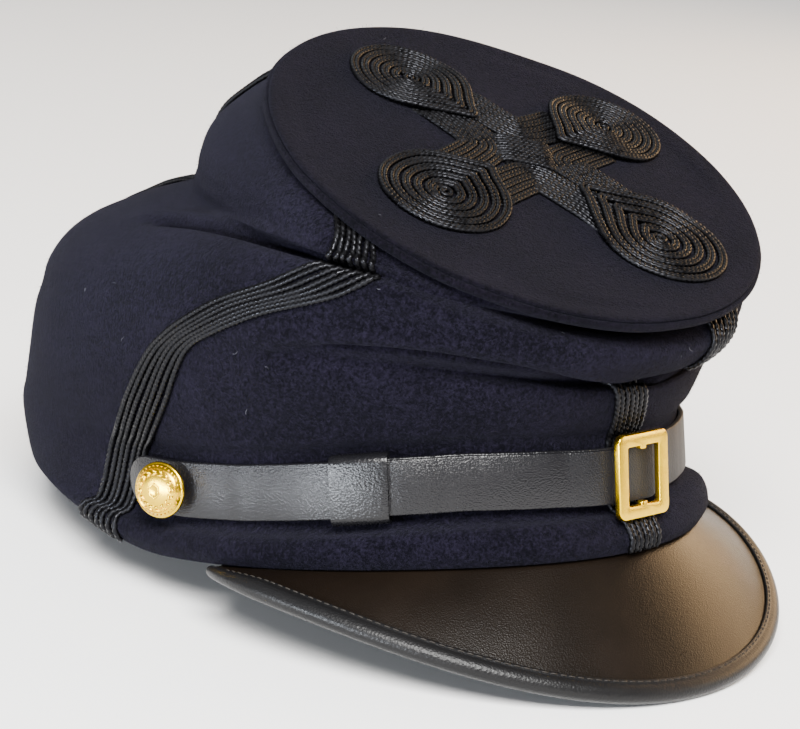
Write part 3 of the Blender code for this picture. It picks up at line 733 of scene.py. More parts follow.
def make_disc():
    """The rim, slightly uneven, and the top in ever smaller rings, whose soft waves fade inward."""
    angle = np.arange(DISC_ROUND) * 2 * math.pi / DISC_ROUND
    wave = 0.05 * np.sin(9 * angle + 1.0) + 0.04 * np.sin(17 * angle)
    rings = [disc_edge(angle, inset + wave, height + wave) for inset, height in RIM]
    first = RIM[-1][0]
    for share in np.linspace(0.0, 0.995, TOP_RINGS)[1:]:
        inset = first + (DISC_HALF_WIDTH - TOP_EYE - first) * share
        fade = 1 - share
        wave = 0.28 * np.sin(2 * angle + 5 * share) + 0.2 * np.sin(5 * angle - 7 * share)
        sag = -0.35 * math.sin(math.pi * min(1.0, share * 1.4))
        rings.append(disc_edge(angle, inset, TOP_HEIGHT + (wave + sag) * fade))
    # The top gets the darker copy of the wool, painted shade that offsets the stronger light on the
    # disc.
    piece = lofted("wool_disc", rings, shaded_top_wool, 80.0)
    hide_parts("disc")


# ---------------------------------------------------------------- peak


# How full the peak's outline is, how its fall is spread, how far its middle bulges up, and the tab
# of it behind the hem.
VISOR_REACH_POWER = 0.44
VISOR_DROP_POWER = 1.83
VISOR_DOMING = 2.0
VISOR_TAB = 4.0
# The peak's ends: how much of its angle it takes up, and how thin it is there and over what turn.
VISOR_SPAN = 0.985
VISOR_THINNEST = 0.55
VISOR_THINNING = math.radians(14.0)
VISOR_COLUMNS = 181
VISOR_RINGS = 21
BINDING_RINGS = 241


def visor_edge(angle):
    share = np.maximum(0.0, 1 - (angle / VISOR_HALF_ANGLE) ** 2)
    reach = VISOR_REACH * share**VISOR_REACH_POWER
    drop = VISOR_DROP * share**VISOR_DROP_POWER + VISOR_TIP_DROP * (1 - share) ** 3
    points = crown(0.0, angle) + hem_outward(angle) * reach[..., None]
    points[..., 2] -= drop
    return points


def visor_surface(angle, share):
    """The middle of the peak's leather, where share is 0 at the hem and 1 at the outer edge."""
    angle, share = np.broadcast_arrays(np.asarray(angle, float), np.asarray(share, float))
    root = crown(0.0, angle) - hem_outward(angle) * WOOL
    root[..., 2] -= GAP + VISOR_THICK / 2
    along = visor_edge(angle) - root
    length = np.linalg.norm(along, axis=-1, keepdims=True)
    along = along * (1 - VISOR_MARGIN / np.maximum(length, 3 * VISOR_MARGIN))
    points = root + along * share[..., None]
    doming = VISOR_DOMING * np.sin(math.pi * share)
    points[..., 2] += doming * (1 - (angle / VISOR_HALF_ANGLE) ** 2)
    return points


def visor_size(angle):
    """How thick the peak and its binding are, as a share: they thin out at both ends."""
    thick = eased(VISOR_HALF_ANGLE - np.abs(angle), 0.0, VISOR_THINNING)
    return (VISOR_THINNEST + (1 - VISOR_THINNEST) * thick)[:, None]


def visor_normal(angle, share):
    around = visor_surface(angle + NUDGE, share) - visor_surface(angle - NUDGE, share)
    along = visor_surface(angle, share + NUDGE) - visor_surface(angle, share - NUDGE)
    normal = unit(np.cross(around, along))
    return normal * np.sign(normal[..., 2:3])


def visor_turns(count):
    last = VISOR_HALF_ANGLE * VISOR_SPAN
    return np.linspace(-last, last, count)


def make_visor():
    turns = visor_turns(VISOR_COLUMNS)
    outward = hem_outward(turns)
    seam = crown(0.0, turns) - outward * (WOOL + GAP)
    size = visor_size(turns) * VISOR_THICK / 2
    top = [seam + (0, 0, VISOR_TAB), seam - (0, 0, GAP)]
    bottom = [points - outward * VISOR_THICK for points in top]
    for share in np.linspace(0, 1, VISOR_RINGS):
        middle = visor_surface(turns, share)
        half = visor_normal(turns, share) * size
        top.append(middle + half)
        bottom.append(middle - half)
    rings = np.stack(top + bottom[::-1], 1)
    piece = lofted("leather_peak", rings, peak_leather, 50.0)
    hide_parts("visor")


def edge_frame(turns):
    """The peak's outer edge, with the directions along it, over it and out from it."""
    edge = visor_surface(turns, 1.0)
    along = unit(visor_surface(turns + NUDGE, 1.0) - visor_surface(turns - NUDGE, 1.0))
    normal = visor_normal(turns, 1.0)
    outward = unit(np.cross(normal, along))
    flip = np.sign((outward * hem_outward(turns)).sum(-1, keepdims=True))
    return edge, along, normal, outward * flip


# The binding's upper half, from its inner lip round to its outermost point: out and up.
BINDING_HALF = (
    (-4.7, 1.75), (-4.45, 2.0), (-3.9, 2.1), (-3.5, 2.05), (-3.1, 2.2), (-2.5, 2.6), (-1.6, 2.78),
    (-0.6, 2.7), (0.3, 2.35), (1.0, 1.75), (1.4, 1.0), (1.55, 0.0),
)


def make_binding():
    turns = visor_turns(BINDING_RINGS)
    edge, _, normal, outward = edge_frame(turns)
    size = visor_size(turns)
    lip = BINDING_HALF[0][0]
    slit = VISOR_THICK / 2 + GAP
    section = list(BINDING_HALF) + [(out, -up) for out, up in BINDING_HALF[-2::-1]]
    section += [(lip, -slit), (GAP, -slit), (GAP, slit), (lip, slit)]
    rings = np.stack([edge + (outward * out + normal * up) * size for out, up in section], 1)
    piece = lofted("peak_binding", rings, edge_leather, 40.0)
    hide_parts("visor_binding")


# A stitch: its length and radius, how far apart they are, how far in from the edge and off the
# peak's middle they lie, and how far from the peak's ends they stop.
STITCH_LENGTH = 1.9
STITCH_RADIUS = 0.24
STITCH_PITCH = 2.6
STITCH_IN = 4.0
STITCH_OFF = 2.1
STITCH_STOP = 6.0
# Its rings: how far along it, how wide and how much raised, as shares of its length and radius.
STITCH_RINGS = (
    (-0.5, 0.35, -0.7), (-0.36, 0.9, 0.0), (0.0, 1.0, 0.25), (0.36, 0.9, 0.0), (0.5, 0.35, -0.7),
)


def stitch(middle, along, normal):
    """One short raised thread."""
    ring = circle(np.cross(along, normal), normal, 6) * STITCH_RADIUS
    rings = []
    for share, wide, rise in STITCH_RINGS:
        centre = middle + along * STITCH_LENGTH * share + normal * STITCH_RADIUS * rise
        rings.append(centre + ring * wide)
    return np.array(rings)


def make_stitches():
    """A row of stitches through the binding, above the peak and below it."""
    fine = visor_turns(1200)
    edge, along, normal, outward = edge_frame(fine)
    size = visor_size(fine)
    upper = edge - outward * STITCH_IN * size + normal * STITCH_OFF * size
    lower = edge - outward * STITCH_IN * size - normal * STITCH_OFF * size
    run = length_along(upper)
    stitches = []
    for at in np.arange(STITCH_STOP, run[-1] - STITCH_STOP, STITCH_PITCH):
        index = int(np.searchsorted(run, at))
        stitches.append(stitch(upper[index], along[index], normal[index]))
        stitches.append(stitch(lower[index], along[index], -normal[index]))
    cords_piece("binding_stitches", stitches, thread)


# ---------------------------------------------------------------- strap


# How far the strap is lifted over the braid in front and at the buttons, and in the keeper, and the
# turns over which it comes down again.
LIFT_RAMP = math.radians(5.0)
BRAID_LIFT = 2.0
KEEPER_LIFT = KEEPER_THICK + 1.0
BRAID_RAMP_END = 3.4 * LIFT_RAMP
KEEPER_RAMP_END = 4.2 * LIFT_RAMP
BUTTON_RAMP = (math.radians(77.0), math.radians(90.0))
LAP_START = math.radians(-4.25)
LAP_END = math.radians(55.2)
STRAP_CORNER = 0.45
STRAP_PITCH = math.radians(0.55)
# A strap's end is drawn in over these turns in degrees: round, or cut square.
ROUND_END = (25, 45, 62, 76, 86)
SQUARE_END = (30, 70)


def groove_frame(angle, lift):
    """The strap's groove: a point so far off the wool, with directions round, up and outward."""
    low = crown(float(STRAP_LOW), angle)
    high = crown(float(STRAP_HIGH), angle)
    upward = unit(high - low)
    around = unit(crown(float(STRAP_LOW), angle + NUDGE) - low)
    outward = unit(np.cross(around, upward))
    flat = low * np.array((1, 1, 0))
    outward = outward * np.sign((outward * flat).sum(-1, keepdims=True))
    lift = np.asarray(lift, float)
    return (low + high) / 2 + outward * lift[..., None], around, upward, outward


def strap_lift(angle):
    """How far the strap stands off, over the front braid, at the buttons and in the keeper."""
    front = 1 - eased(np.abs(angle - BRAID_FRONT), LIFT_RAMP, BRAID_RAMP_END)
    side = eased(np.abs(angle), *BUTTON_RAMP)
    keeper = 1 - eased(np.abs(angle - KEEPER_MID), LIFT_RAMP, KEEPER_RAMP_END)
    return GAP + BRAID_LIFT * np.maximum(front, side) + KEEPER_LIFT * keeper


def rounded_section(corners, steps):
    """A flat section as (up, out) pairs. Its corners, each (up, out, radius), start at the upper
    outer one and go down, in and up again."""
    points = []
    for index, (up, out, radius) in enumerate(corners):
        up_side, out_side = ((1, 1), (-1, 1), (-1, -1), (1, -1))[index]
        for step in range(steps + 1):
            turn = math.radians(90 * (index + step / steps))
            points.append((
                up - up_side * radius + radius * math.cos(turn),
                out - out_side * radius + radius * math.sin(turn),
            ))
    return points


def end_rings(ring, ahead, upward, half_width, rounded):
    """The rings that close a strap's end, from its last full ring outwards."""
    reach = half_width if rounded else 0.5
    across = (ring - ring.mean(0)) @ upward
    rings = []
    for degrees in ROUND_END if rounded else SQUARE_END:
        turn = math.radians(degrees)
        narrow = (1 - math.cos(turn)) * (1.0 if rounded else 0.03)
        rings.append(ring + ahead * reach * math.sin(turn) - upward * (across * narrow)[:, None])
    return rings


def strap_layer(name, first, last, lift, thick, width, rounded, node):
    """A layer of leather in the groove, which wavers a little and has round or square ends."""
    angles = np.linspace(first, last, int((last - first) / STRAP_PITCH))
    waver = 0.12 * np.sin(angles * 23) + 0.08 * np.sin(angles * 41 + 1)
    lift = strap_lift(angles) + lift + np.abs(waver) * 0.5
    middle, around, upward, outward = groove_frame(angles, lift)
    half = width / 2
    section = rounded_section([
        (half, thick, STRAP_CORNER), (-half, thick, STRAP_CORNER), (-half, 0.0, STRAP_CORNER),
        (half, 0.0, STRAP_CORNER),
    ], 3)
    body = np.stack([
        middle + upward * (up + waver * 0.3)[:, None] + outward * out for up, out in section
    ], 1)
    start = end_rings(body[0], -around[0], upward[0], half, rounded)
    end = end_rings(body[-1], around[-1], upward[-1], half, rounded)
    rings = start[::-1] + list(body) + end
    piece = lofted(name, rings, strap_leather, 50.0)
    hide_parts(node)


def make_straps():
    strap_layer(
        "leather_strap", -STRAP_END, STRAP_END, 0.0, STRAP_THICK, STRAP_WIDTH, True, "chin_strap"
    )
    strap_layer(
        "leather_lap", LAP_START, LAP_END, STRAP_THICK + GAP, LAP_THICK, STRAP_WIDTH - 0.6, False,
        "chin_strap_lap",
    )


KEEPER_LENGTH = 16.4
KEEPER_HEIGHT = 19.6
KEEPER_RINGS = 17
KEEPER_SWELL = 0.15
KEEPER_SOFT = 0.12
CAP_RADIUS = 97.0


def make_keeper():
    """A loop round both layers: an outer and an inner shell, joined along the loop's two edges."""
    half_turn = KEEPER_LENGTH / 2 / CAP_RADIUS
    angles = np.linspace(KEEPER_MID - half_turn, KEEPER_MID + half_turn, KEEPER_RINGS)
    middle, _, upward, outward = groove_frame(angles, strap_lift(angles) - GAP)
    inside = STRAP_THICK + LAP_THICK + 3 * GAP
    ring = np.arange(KEEPER_RINGS)
    swell = KEEPER_SWELL * np.sin(math.pi * ring / (KEEPER_RINGS - 1))
    worn = KEEPER_SOFT * np.exp(-np.minimum(ring, KEEPER_RINGS - 1 - ring) / 0.5)
    rings = []
    for grow, near, far in ((KEEPER_THICK, 1.8, 2.5), (0.0, 0.25, 1.3)):
        half = KEEPER_HEIGHT / 2 - KEEPER_THICK + grow
        low, high = -grow, inside + grow
        soft = worn * (grow > 0)
        section = rounded_section(
            [(half, high, far), (-half, high, far), (-half, low, near), (half, low, near)], 4
        )
        shell = []
        for up, out in section:
            raised = out + (swell - soft) * (out > 1)
            shell.append(
                middle + upward * (up * (1 - soft / 12))[:, None] + outward * raised[:, None]
            )
        shell = list(np.stack(shell, 1))
        rings += shell if grow else shell[::-1]
    # The keeper gets the darker copy of the strap's leather, painted shade for its shadowed edges.
    piece = lofted("leather_keeper", rings, keeper_leather_painted_shade, 50.0, closed_length=True)
    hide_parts("strap_keeper")


# ---------------------------------------------------------------- brass


SLIDE_LENGTH = 20.4
SLIDE_HEIGHT = 24.0
SLIDE_RAIL = 3.75
SLIDE_THICK = 2.2
SLIDE_CORNER = 2.3
SLIDE_BEVEL = 0.45
SLIDE_LIFT = 1.0
WINDOW_CORNER = 0.7
NUB_LENGTH = 1.0
NUB_HALF_WIDTH = 0.5
# The button's shell from its shank up: radius and height.
SHELL = (
    (2.0, -2.2), (2.0, 0.35), (6.6, 0.5), (7.7, 0.75), (8.05, 1.15), (8.1, 1.5), (7.95, 1.85),
    (7.7, 2.05), (7.5, 2.1), (7.35, 2.35), (6.75, 3.12), (6.5, 3.42), (6.3, 3.55), (6.15, 3.45),
    (5.5, 3.81), (4.6, 4.11), (3.6, 4.36), (2.6, 4.53), (1.5, 4.64), (0.6, 4.69),
)


def set_into(piece, origin, across, upward, outward):
    """Moves a piece made flat at the origin, in millimetres, onto the cap."""
    basis = np.eye(4)
    basis[:3, 0] = across
    basis[:3, 1] = upward
    basis[:3, 2] = outward
    basis[:3, 3] = origin
    piece.data.transform(CAP @ Matrix(basis.tolist()) @ piece.matrix_world)
    piece.matrix_world = Matrix.Identity(4)
    piece.rotation_euler = (0, 0, 0)
    piece.location = (0, 0, 0)
    piece.scale = (1, 1, 1)


def fresh():
    if bpy.context.object and bpy.context.object.mode != "OBJECT":
        bpy.ops.object.mode_set(mode="OBJECT")
    bpy.ops.object.select_all(action="DESELECT")


def bevelled(piece, width, segments):
    bevel = piece.modifiers.new("rounded", "BEVEL")
    bevel.width = width
    bevel.segments = segments
    bevel.limit_method = "ANGLE"
    bevel.angle_limit = math.radians(40)
    bpy.context.view_layer.objects.active = piece
    piece.select_set(True)
    bpy.ops.object.modifier_apply(modifier=bevel.name)


def picked(piece, kind, wanted):
    """Selects the verts, edges or faces of the edited piece whose middle passes the test."""
    mode = {"verts": "VERT", "edges": "EDGE", "faces": "FACE"}[kind]
    bpy.ops.mesh.select_mode(type=mode)
    bpy.ops.mesh.select_all(action="DESELECT")
    work = bmesh.from_edit_mesh(piece.data)
    for item in getattr(work, kind):
        spots = [item.co] if kind == "verts" else [vertex.co for vertex in item.verts]
        item.select_set(bool(wanted(sum(spots, Vector()) / len(spots))))
    work.select_flush_mode()
    bmesh.update_edit_mesh(piece.data)


def rounded_plate(length, height, corner):
    """In edit mode: one flat plate with rounded corners, left selected."""
    bpy.ops.mesh.primitive_plane_add(size=1.0)
    bpy.ops.transform.resize(value=(length, height, 1.0))
    bpy.ops.mesh.bevel(offset=corner, segments=5, affect="VERTICES")


def turned(name, profile, segments):
    """A round piece drawn up from a disc: each (radius, height) is one more extruded ring."""
    fresh()
    radius, height = profile[0]
    bpy.ops.mesh.primitive_circle_add(
        vertices=segments, radius=radius, fill_type="NGON", location=(0, 0, height)
    )
    piece = bpy.context.object
    piece.name = name
    bpy.ops.object.mode_set(mode="EDIT")
    bpy.ops.mesh.select_mode(type="FACE")
    bpy.ops.mesh.select_all(action="SELECT")
    for last, (radius, height) in zip(profile, profile[1:]):
        rise = height - last[1]
        grow = radius / last[0]
        bpy.ops.mesh.extrude_region_move(TRANSFORM_OT_translate={"value": (0, 0, rise)})
        bpy.ops.transform.resize(value=(grow, grow, 1.0))
    bpy.ops.object.mode_set(mode="OBJECT")
    return piece


def make_buckle():
    """A stamped slide: two rounded plates bridged to a frame, nubs drawn in, then thickened."""
    fresh()
    bpy.ops.mesh.primitive_plane_add(size=1.0)
    piece = bpy.context.object
    piece.name = "brass_slide"
    bpy.ops.object.mode_set(mode="EDIT")
    bpy.ops.mesh.select_all(action="SELECT")
    bpy.ops.mesh.delete(type="VERT")
    rounded_plate(SLIDE_LENGTH, SLIDE_HEIGHT, SLIDE_CORNER)
    bpy.ops.mesh.select_all(action="DESELECT")
    window = SLIDE_HEIGHT / 2 - SLIDE_RAIL
    rounded_plate(SLIDE_LENGTH - 2 * SLIDE_RAIL, 2 * window, WINDOW_CORNER)
    bpy.ops.mesh.select_all(action="SELECT")
    bpy.ops.mesh.delete(type="ONLY_FACE")
    bpy.ops.mesh.select_all(action="SELECT")
    bpy.ops.mesh.bridge_edge_loops()
    for side in (-1, 1):

        def under_nub(spot):
            return abs(spot.y - side * window) < 0.05 and abs(spot.x) < NUB_HALF_WIDTH

        picked(piece, "edges", under_nub)
        bpy.ops.mesh.subdivide(number_cuts=4)
        picked(piece, "edges", under_nub)
        nub = {"value": (0, -side * NUB_LENGTH, 0)}
        bpy.ops.mesh.extrude_region_move(TRANSFORM_OT_translate=nub)
    bpy.ops.mesh.select_mode(type="FACE")
    bpy.ops.mesh.select_all(action="SELECT")
    bpy.ops.mesh.extrude_region_move(TRANSFORM_OT_translate={"value": (0, 0, SLIDE_THICK)})
    bpy.ops.object.mode_set(mode="OBJECT")
    bevelled(piece, SLIDE_BEVEL, 3)
    angle = np.array(BUCKLE_MID)
    lift = strap_lift(angle) + STRAP_THICK + LAP_THICK + 2 * GAP + SLIDE_LIFT
    middle, _, upward, outward = groove_frame(angle, lift)
    set_into(piece, middle, np.cross(upward, outward), upward, outward)
    dressed(piece, brass, 35.0)
    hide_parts("strap_buckle")


# The button's dome under its relief. Its shank stands off the strap, and the turned button's own
# radius lifts its middle further.
DOME_FOOT = 1.7
DOME_RISE = 3.0
DOME_RADIUS = 7.75
SHANK_LENGTH = 2.2
TURN_RADIUS = 8.0
SHELL_SIDES = 56
# Its relief: the size and tip of a bead or leaf, then how many, how far out and how turned.
RELIEF = (
    ("bead", (0.22, 0.34, 0.2), 1.0, 34, 7.1, 0.0),
    ("leaf", (0.42, 1.0, 0.34), 0.35, 16, 4.7, 0.45),
    ("leaf", (0.36, 0.85, 0.3), 0.35, 16, 5.6, -0.45),
)
SHIELD_RADIUS = 2.1
SHIELD_HEIGHT = 4.62
SHIELD_SHAPE = (0.9, 1.15, 0.6)
SHIELD_RIM = 0.4
SHIELD_SUNK = 0.15
SHIELD_BEVEL = 0.1


def dome(radius):
    return DOME_FOOT + DOME_RISE * math.sqrt(max(0.0, 1 - (radius / DOME_RADIUS) ** 2))


def copied(piece):
    return added(piece.name, piece.data.copy())


def ringed(piece, count, radius, lean):
    """The piece and its copies in a ring on the button's dome, each with its own mesh."""
    ring = [piece] + [copied(piece) for step in range(1, count)]
    for step, copy in enumerate(ring):
        turn = 2 * math.pi * step / count
        copy.location = (radius * math.cos(turn), radius * math.sin(turn), dome(radius))
        copy.rotation_euler = (0, 0, turn + lean)
    return ring


def drop(name, size, tip):
    """A small flat bead, or a leaf where its outer half is narrowed to a tip."""
    fresh()
    bpy.ops.mesh.primitive_ico_sphere_add(subdivisions=2 if tip < 1 else 1, radius=1.0)
    piece = bpy.context.object
    piece.name = name
    bpy.ops.object.mode_set(mode="EDIT")
    bpy.ops.mesh.select_all(action="SELECT")
    bpy.ops.transform.resize(value=size)
    picked(piece, "verts", lambda spot: spot.y > 0.3 * size[1])
    bpy.ops.transform.resize(value=(tip, 1.0, 1.0))
    bpy.ops.object.mode_set(mode="OBJECT")
    return piece


def button_shell():
    """A domed shell with a rolled edge and a shank, its border beaded, a wreath and a shield."""
    shell = turned("brass_button", SHELL, SHELL_SIDES)
    parts = [shell]
    for name, size, tip, count, radius, lean in RELIEF:
        parts += ringed(drop(name, size, tip), count, radius, lean)
    fresh()
    bpy.ops.mesh.primitive_cylinder_add(
        vertices=6, radius=SHIELD_RADIUS, depth=1.0, location=(0, 0, SHIELD_HEIGHT)
    )
    shield = bpy.context.object
    bpy.ops.object.mode_set(mode="EDIT")
    bpy.ops.mesh.select_all(action="SELECT")
    bpy.ops.transform.resize(value=SHIELD_SHAPE)
    picked(shield, "faces", lambda spot: spot.z > 0.4 * SHIELD_SHAPE[2])
    bpy.ops.mesh.inset(thickness=SHIELD_RIM)
    bpy.ops.mesh.extrude_region_move(TRANSFORM_OT_translate={"value": (0, 0, -SHIELD_SUNK)})
    bpy.ops.object.mode_set(mode="OBJECT")
    bevelled(shield, SHIELD_BEVEL, 2)
    parts.append(shield)
    fresh()
    for part in parts:
        part.select_set(True)
    bpy.context.view_layer.objects.active = shell
    bpy.ops.object.join()
    bpy.ops.object.transform_apply(location=True, rotation=True, scale=True)
    return shell


def make_buttons():
    """One button, and its copy on the other side."""
    first = button_shell()
    for piece, side, word in ((first, 1, "right"), (copied(first), -1, "left")):
        piece.name = "brass_button_" + word
        angle = np.array(BUTTON_ANGLE * side)
        turned_out = TURN_RADIUS * math.sin(BUTTON_TURN)
        shank = SHANK_LENGTH * math.sin(BUTTON_TURN)
        lift = strap_lift(angle) + STRAP_THICK + GAP + shank + turned_out
        foot, _, upward, outward = groove_frame(angle, lift)
        axis = np.array(Matrix.Rotation(BUTTON_TURN * side, 3, Vector(upward))) @ outward
        middle = foot + (axis - outward) * turned_out
        set_into(piece, middle, np.cross(upward, axis), upward, axis)
        dressed(piece, brass, 40.0)
        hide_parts("button_" + word)


# ---------------------------------------------------------------- braid


# Each band of cords by rows: the row, and the turns of its two edges in degrees.
BRAIDS = {
    "braid_front_low": (
        (0.0, 4.5, -4.0), (4.0, 4.8, -4.0), (7.0, 7.3, -1.0), (7.9, 7.9, -0.4),
    ),
    "braid_front_high": (
        (8.7, -9.0, -19.5), (9.0, -9.5, -20.0), (10.0, -10.0, -22.0), (11.0, -11.0, -23.0),
        (12.4, -12.0, -24.0),
    ),
    "braid_right_low": (
        (0.0, 116.0, 102.0), (2.0, 111.5, 101.0), (3.0, 107.8, 99.0), (4.0, 103.3, 94.3),
        (5.0, 100.5, 91.0), (6.0, 97.0, 87.0), (7.0, 92.5, 84.4), (8.0, 90.2, 82.8),
        (9.0, 88.3, 79.8), (10.0, 85.2, 74.5), (11.0, 81.5, 66.5), (12.0, 81.5, 66.0),
        (12.8, 83.0, 67.5),
    ),
    "braid_right_high": ((13.2, 83.5, 70.5), (14.0, 84.0, 71.5), (17.0, 87.0, 74.0), (17.9, 87.5, 74.5)),
    "braid_left_low": (
        (0.0, -104.0, -114.0), (3.0, -102.0, -111.0), (4.0, -98.0, -106.5), (10.0, -98.0, -106.0),
        (11.0, -99.5, -108.0), (12.7, -101.5, -111.0),
    ),
    "braid_left_high": ((13.2, -101.0, -111.5), (17.0, -102.0, -113.5), (17.9, -102.0, -113.5)),
    "braid_back_low": (
        (0.6, 184.5, 175.5), (7.0, 181.0, 172.0), (10.0, 178.0, 169.0), (12.7, 171.8, 162.0),
    ),
    "braid_back_high": ((13.2, 171.5, 161.0), (17.0, 172.5, 160.5), (17.9, 172.5, 160.5)),
}
BRAID_CORDS = 7
CORD_RADIUS = 0.80
CORD_SEAT = 0.75
CORD_DIVE = 1.2
BRAID_FOOT = 0.12
BRAID_STEPS = 90
BRAID_SMOOTHING = 9


def smoothed(values):
    """Rounds the corners of a run of values, and leaves its ends where they are."""
    weights = np.hanning(BRAID_SMOOTHING)
    padded = np.pad(values, BRAID_SMOOTHING // 2, mode="reflect", reflect_type="odd")
    return np.convolve(padded, weights / weights.sum(), "valid")


def make_braid(node, table):
    """Parallel cords sewn to the wool, whose ends dive into it."""
    rows, first, second = np.array(table).T
    places = np.linspace(max(rows[0], BRAID_FOOT), rows[-1], BRAID_STEPS)
    first = smoothed(np.radians(np.interp(places, rows, first)))
    second = smoothed(np.radians(np.interp(places, rows, second)))
    dive = np.maximum(
        1 - eased(places, rows[0], rows[0] + 0.15), eased(places, rows[-1] - 0.25, rows[-1])
    )
    cords = []
    for number in range(BRAID_CORDS):
        share = (number + 0.5) / BRAID_CORDS
        stray = 0.012 * np.sin(places * 1.3 + number * 2.1)
        points, normal = skin(places, first + (second - first) * (share + stray))
        points = points + normal * (CORD_SEAT - CORD_DIVE * dive)[:, None]
        clear = floor_under(points) + 1.3 * CORD_RADIUS
        points[:, 2] = np.maximum(points[:, 2], clear)
        cords.append(cord_rings(points, normal, CORD_RADIUS, phase=number * 1.7))
    piece = cords_piece("cords_" + node.removeprefix("braid_"), cords, braid)
    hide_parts(node)


KNOT_MIDDLE = np.array((-6.2, -3.6))
KNOT_FOOT = 1.42
# Each lobe: its direction in degrees, from the front to the wearer's right, then how far its eye is
# from the knot's middle, its radius, and how far its outer turns are drawn out towards the middle.
LOBES = (
    ("front", -14.1, 48.6, 20.4, 0.36), ("right", 74.6, 43.8, 19.4, 0.19),
    ("back", 167.3, 44.0, 18.6, 0.28), ("left", 260.9, 40.3, 18.2, 0.24),
)
# The knot's braid is a double cord, so each of its passes has two ribs.
PASSES = 5
RIBS = [(number, rib) for number in range(PASSES) for rib in (-1, 1)]
RIB_APART = 0.64
RIB_RADIUS = 0.70
RIB_SEAT = 0.60
BAND_PITCH = 2.95
BAND_TURN = 13.0
LOBE_RISE = 1.5
# A lobe's innermost turn and the spiral inside it, how long a drop is for its width and how sharp
# its point, and how far from the eye it climbs over the arms.
EYE_RADIUS = 4.7
EYE_SPIRAL = (3.1, 0.5)
EYE_TURNS = 1.5
DROP_LENGTH = 1.12
DROP_POINT = 0.985
DROP_ROUND = 0.36
DROP_MARKS = 12
DROP_STEPS = 8
DROP_RISE = (-3.0, 15.0)
# An arm ends this far inside a lobe's eye. Its marks are so far along and beside the lobe's axis.
ARM_END = 12.0
ARM_LEAD = 12.0
ARM_ALONG = (24.0, 15.5)
ARM_ASIDE = np.array((6.6, 7.0, 7.4, 7.7))
ARM_STEPS = 16
ARM_DIVE = 0.9
CENTRE_HALF = 13.0
CENTRE_PITCH = 2.85
CENTRE_BANDS = ((32.0, 0.0), (-58.0, 0.9))


def on_disc(flat, height):
    """Points (right, forward) on the disc, in the cap's frame."""
    return from_disc(np.stack([-flat[:, 0], -flat[:, 1], height + 0 * flat[:, 0]], -1))


def lobe_spots(lobe, along, across):
    """Points given along and across a lobe's axis, as right and forward on the disc."""
    turn = math.radians(lobe[1])
    right = along * math.sin(turn) + across * math.cos(turn)
    forward = along * math.cos(turn) - across * math.sin(turn)
    return KNOT_MIDDLE + np.stack([right, forward], -1)


def closed_curve(points, steps):
    """A smooth closed curve through the points."""
    spots = np.arange(len(points) * steps) / steps
    start = spots.astype(int)
    beside = (points[(start + step) % len(points)] for step in (-1, 0, 1, 2))
    return through(*beside, (spots - start)[:, None])


def knot_cord(flat, height, phase):
    points = on_disc(flat, height)
    return cord_rings(points, np.tile(DISC_UP, (len(points), 1)), RIB_RADIUS, False, phase)


def drop_line(wide, tip):
    """A closed drop round the lobe's eye, whose point lies towards the knot's middle."""
    half_turn = math.pi - math.acos(wide / tip)
    around = np.linspace(-half_turn, half_turn, DROP_MARKS)
    marks = np.stack([wide * np.cos(around), wide * np.sin(around)], -1)
    point = np.array((-DROP_POINT * tip, 0.0))
    first, last = (point + (marks[end] - point) * DROP_ROUND for end in (0, -1))
    line = closed_curve(np.vstack([point, first, marks, last]), DROP_STEPS)
    return np.vstack([line, line[:3]])


def lobe_cords(lobe):
    """Drop-shaped turns round the lobe's eye, lying over the arms at their tips."""
    distance, radius, drawn = lobe[2:]
    cords = []
    pitch = (radius - EYE_RADIUS - RIB_APART - RIB_RADIUS) / (PASSES - 1)
    for number, rib in RIBS:
        size = EYE_RADIUS + pitch * number
        wide = size + rib * RIB_APART
        drop = drop_line(wide, wide * (DROP_LENGTH + drawn * size / radius))
        line = lobe_spots(lobe, distance + drop[:, 0], drop[:, 1])
        rise = LOBE_RISE * eased(-drop[:, 0], *DROP_RISE)
        cords.append(knot_cord(line, KNOT_FOOT + RIB_SEAT + rise, number * 1.9 + rib))
    spin = np.linspace(0, 2 * math.pi * EYE_TURNS, 90)
    size = np.linspace(*EYE_SPIRAL, 90)
    line = lobe_spots(lobe, distance + size * np.cos(spin), size * np.sin(spin))
    return cords + [knot_cord(line, KNOT_FOOT + RIB_SEAT, 0.0)]


def arm_cords(before, lobe):
    """The band from under one lobe to under the next."""
    between = math.radians((before[1] - 360 * (before[1] > lobe[1]) + lobe[1]) / 2)
    middle = KNOT_MIDDLE + BAND_TURN * np.array((math.sin(between), math.cos(between)))
    marks = []
    for one, sign in ((before, 1), (lobe, -1)):
        end = one[2] - ARM_END
        along = np.array((end + ARM_LEAD, end, *ARM_ALONG))
        marks.append(lobe_spots(one, along, sign * ARM_ASIDE))
    marks = np.vstack([marks[0], [middle], marks[1][::-1]])
    curve = closed_curve(marks, ARM_STEPS)[ARM_STEPS:(len(marks) - 2) * ARM_STEPS + 1]
    tangent = unit(np.gradient(curve, axis=0))
    outer = np.stack([tangent[:, 1], -tangent[:, 0]], -1)
    share = np.linspace(0, 1, len(curve))
    dive = 1 - eased(np.minimum(share, 1 - share), 0.0, 0.12)
    height = KNOT_FOOT + RIB_SEAT - ARM_DIVE * dive
    cords = []
    for number, rib in RIBS:
        aside = BAND_PITCH * (number - (PASSES - 1) / 2) + rib * RIB_APART
        cords.append(knot_cord(curve + outer * aside, height, number * 1.9 + rib))
    return cords


